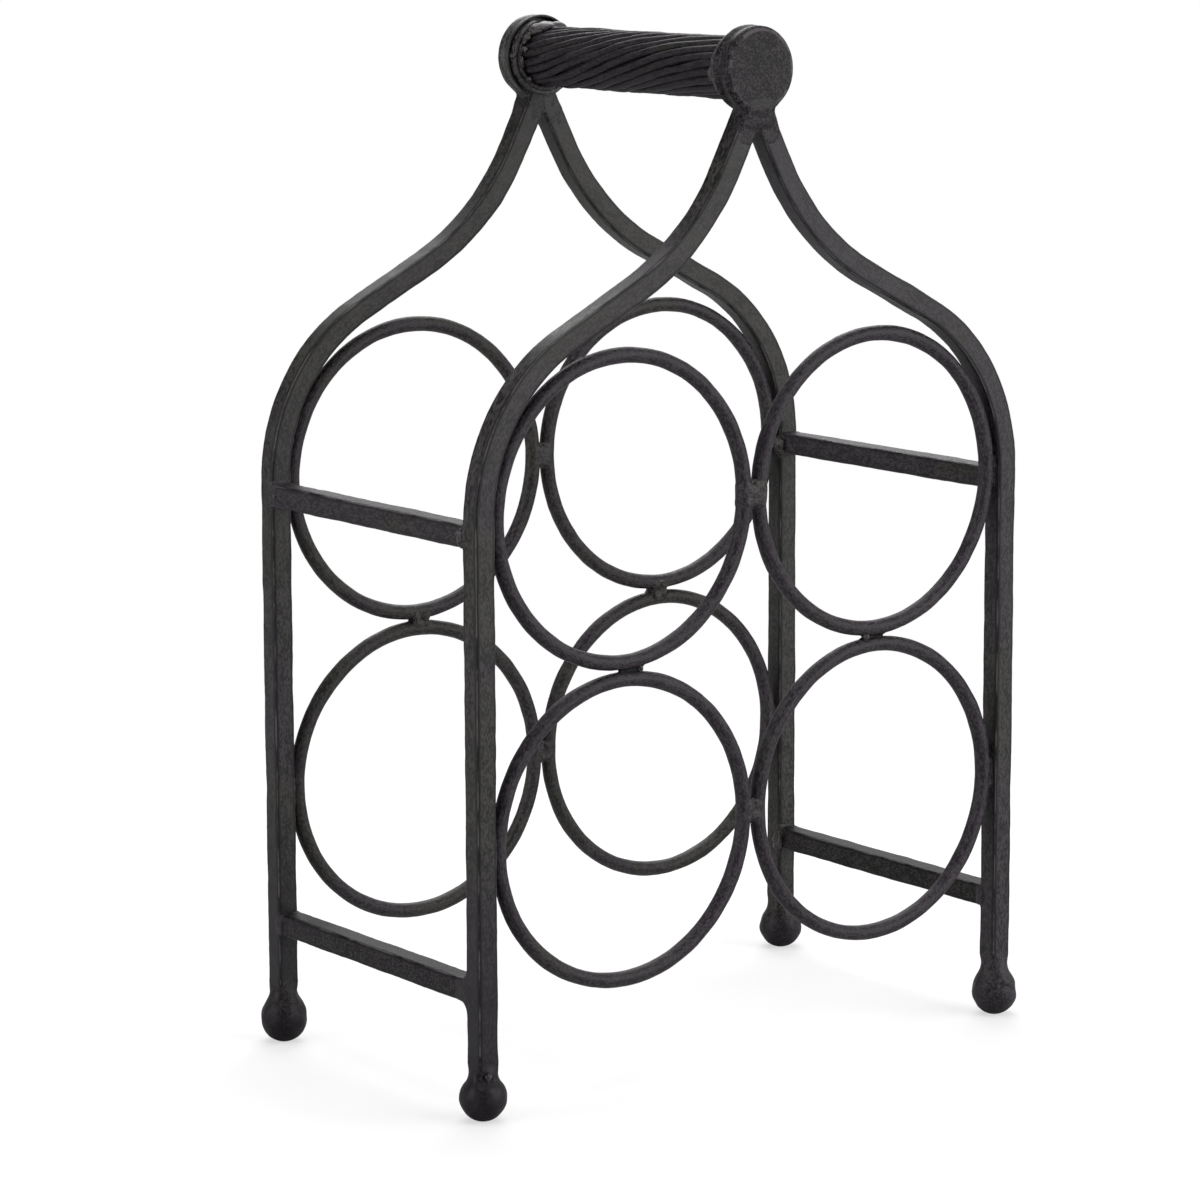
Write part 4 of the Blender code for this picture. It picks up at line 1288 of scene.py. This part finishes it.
# %% [markdown]
# ## Floor and light
#
# The rack stands on white, with only a soft shadow. For the camera the floor is mostly a plain
# white of strength one, and wholly so further out, where it meets the white world. What is left
# is a matt surface that takes the shadow. To the paint's reflections it is a duller white, as
# a sheet of paper is that ends not far from the rack.
# %% Lay the floor
FLOOR_SIZE = 12.0
FLOOR_WHITE = 0.95
FLOOR_DULL = 0.52
SHADOW_SHARE = 0.45
FLOOR_FADE_START = 0.30
FLOOR_FADE_END = 0.75


def make_floor():
    """A large square that shows white to the camera but keeps a share of the shadow near by."""
    mesh = bpy.data.meshes.new("floor")
    half = FLOOR_SIZE / 2
    mesh.from_pydata([(-half, -half, 0), (half, -half, 0), (half, half, 0), (-half, half, 0)],
                     [], [(0, 1, 2, 3)])
    floor = bpy.data.objects.new("floor", mesh)
    bpy.context.scene.collection.objects.link(floor)
    material, recipe = new_material("floor_white")
    place = recipe.add("TexCoord", output=3)
    distance = recipe.add("VectorMath", {"operation": "LENGTH"}, {0: place}, output=1)
    seen = recipe.add("LightPath", output=0)
    white = recipe.add("Emission", None, {"Color": grey(1), "Strength": 1.0})
    tone = recipe.blend(seen, grey(FLOOR_DULL), grey(FLOOR_WHITE))
    matt = recipe.add("BsdfDiffuse", None, {"Color": tone})
    amount = (1 - SHADOW_SHARE) + SHADOW_SHARE * distance.ramp(FLOOR_FADE_START, FLOOR_FADE_END)
    surface = recipe.add("MixShader", None, {0: seen * amount, 1: matt, 2: white})
    recipe.tree.links.new(surface.socket, recipe.tree.nodes["Material Output"].inputs["Surface"])
    mesh.materials.append(material)


make_floor()

# %% [markdown]
# The light is soft: panels above, above and behind, in front to the right, and at the left. The
# world is white to the camera. To everything else it is pale behind the rack and grows darker
# towards the photographer's side, so that edges which face the camera stay dark. Behind the rack
# to the left hangs a dark cloth, which the left sides of the necks mirror. The table gives each
# panel's azimuth in degrees, its height, distance and side in metres, and its power in watts.
# %% Light the rack
WORLD_DARK = 0.24
WORLD_BRIGHT = 0.72
CLOTH_WAY = (-0.362, 0.804, 0.472)
CLOTH_EDGE = (0.89, 0.975)
CLOTH_DARK = 0.95
PANELS = {"top_panel": (0, 1.6, 0.02, 1.2, 9), "back_panel": (144, 1.2, 1.1, 1.0, 13),
          "right_panel": (32, 0.60, 1.5, 1.4, 19), "left_panel": (-95, 0.5, 1.4, 1.0, 9)}


def add_panel(name, azimuth, height, distance, size, power):
    """A square light that looks at the rack's middle from the given side."""
    light = bpy.data.lights.new(name, "AREA")
    light.shape = "SQUARE"
    light.size = size
    light.energy = power
    panel = bpy.data.objects.new(name, light)
    turn = math.radians(azimuth)
    place = np.array([math.sin(turn) * distance, -math.cos(turn) * distance, height])
    back = place - (0, 0, AIM_HEIGHT)
    back = back / np.linalg.norm(back)
    right = np.cross((0, 1, 0) if abs(back[2]) > 0.99 else (0, 0, 1), back)
    right = right / np.linalg.norm(right)
    matrix = np.eye(4)
    matrix[:3, :] = np.column_stack((right, np.cross(back, right), back, place))
    panel.matrix_world = Matrix(matrix.tolist())
    bpy.context.scene.collection.objects.link(panel)


def make_world():
    """Strength one for the camera; for other rays the square of a ramp away from the camera."""
    world = bpy.data.worlds.new("white_surround")
    world.use_nodes = True
    recipe = Recipe(world.node_tree)
    way = recipe.add("TexCoord", output=0)
    away = (-math.sin(VIEW_AZIMUTH), math.cos(VIEW_AZIMUTH), 0)
    level = recipe.add("VectorMath", {"operation": "DOT_PRODUCT"}, {0: way, 1: away}, output=1)
    ramp = level.ramp(-1, 1)
    cloth = recipe.add("VectorMath", {"operation": "DOT_PRODUCT"}, {0: way, 1: CLOTH_WAY},
                       output=1).ramp(*CLOTH_EDGE) * CLOTH_DARK
    other = (WORLD_DARK + (WORLD_BRIGHT - WORLD_DARK) * ramp * ramp) * (1 - cloth)
    seen = recipe.add("LightPath", output=0)
    strength = other + seen * (1 - other)
    dome = recipe.tree.nodes["Background"]
    recipe.feed(dome.inputs["Color"], grey(1))
    recipe.feed(dome.inputs["Strength"], strength)
    bpy.context.scene.world = world


make_world()
for name, panel in PANELS.items():
    add_panel(name, *panel)
bpy.context.scene.view_settings.view_transform = "Standard"
print("panels:", len(PANELS))
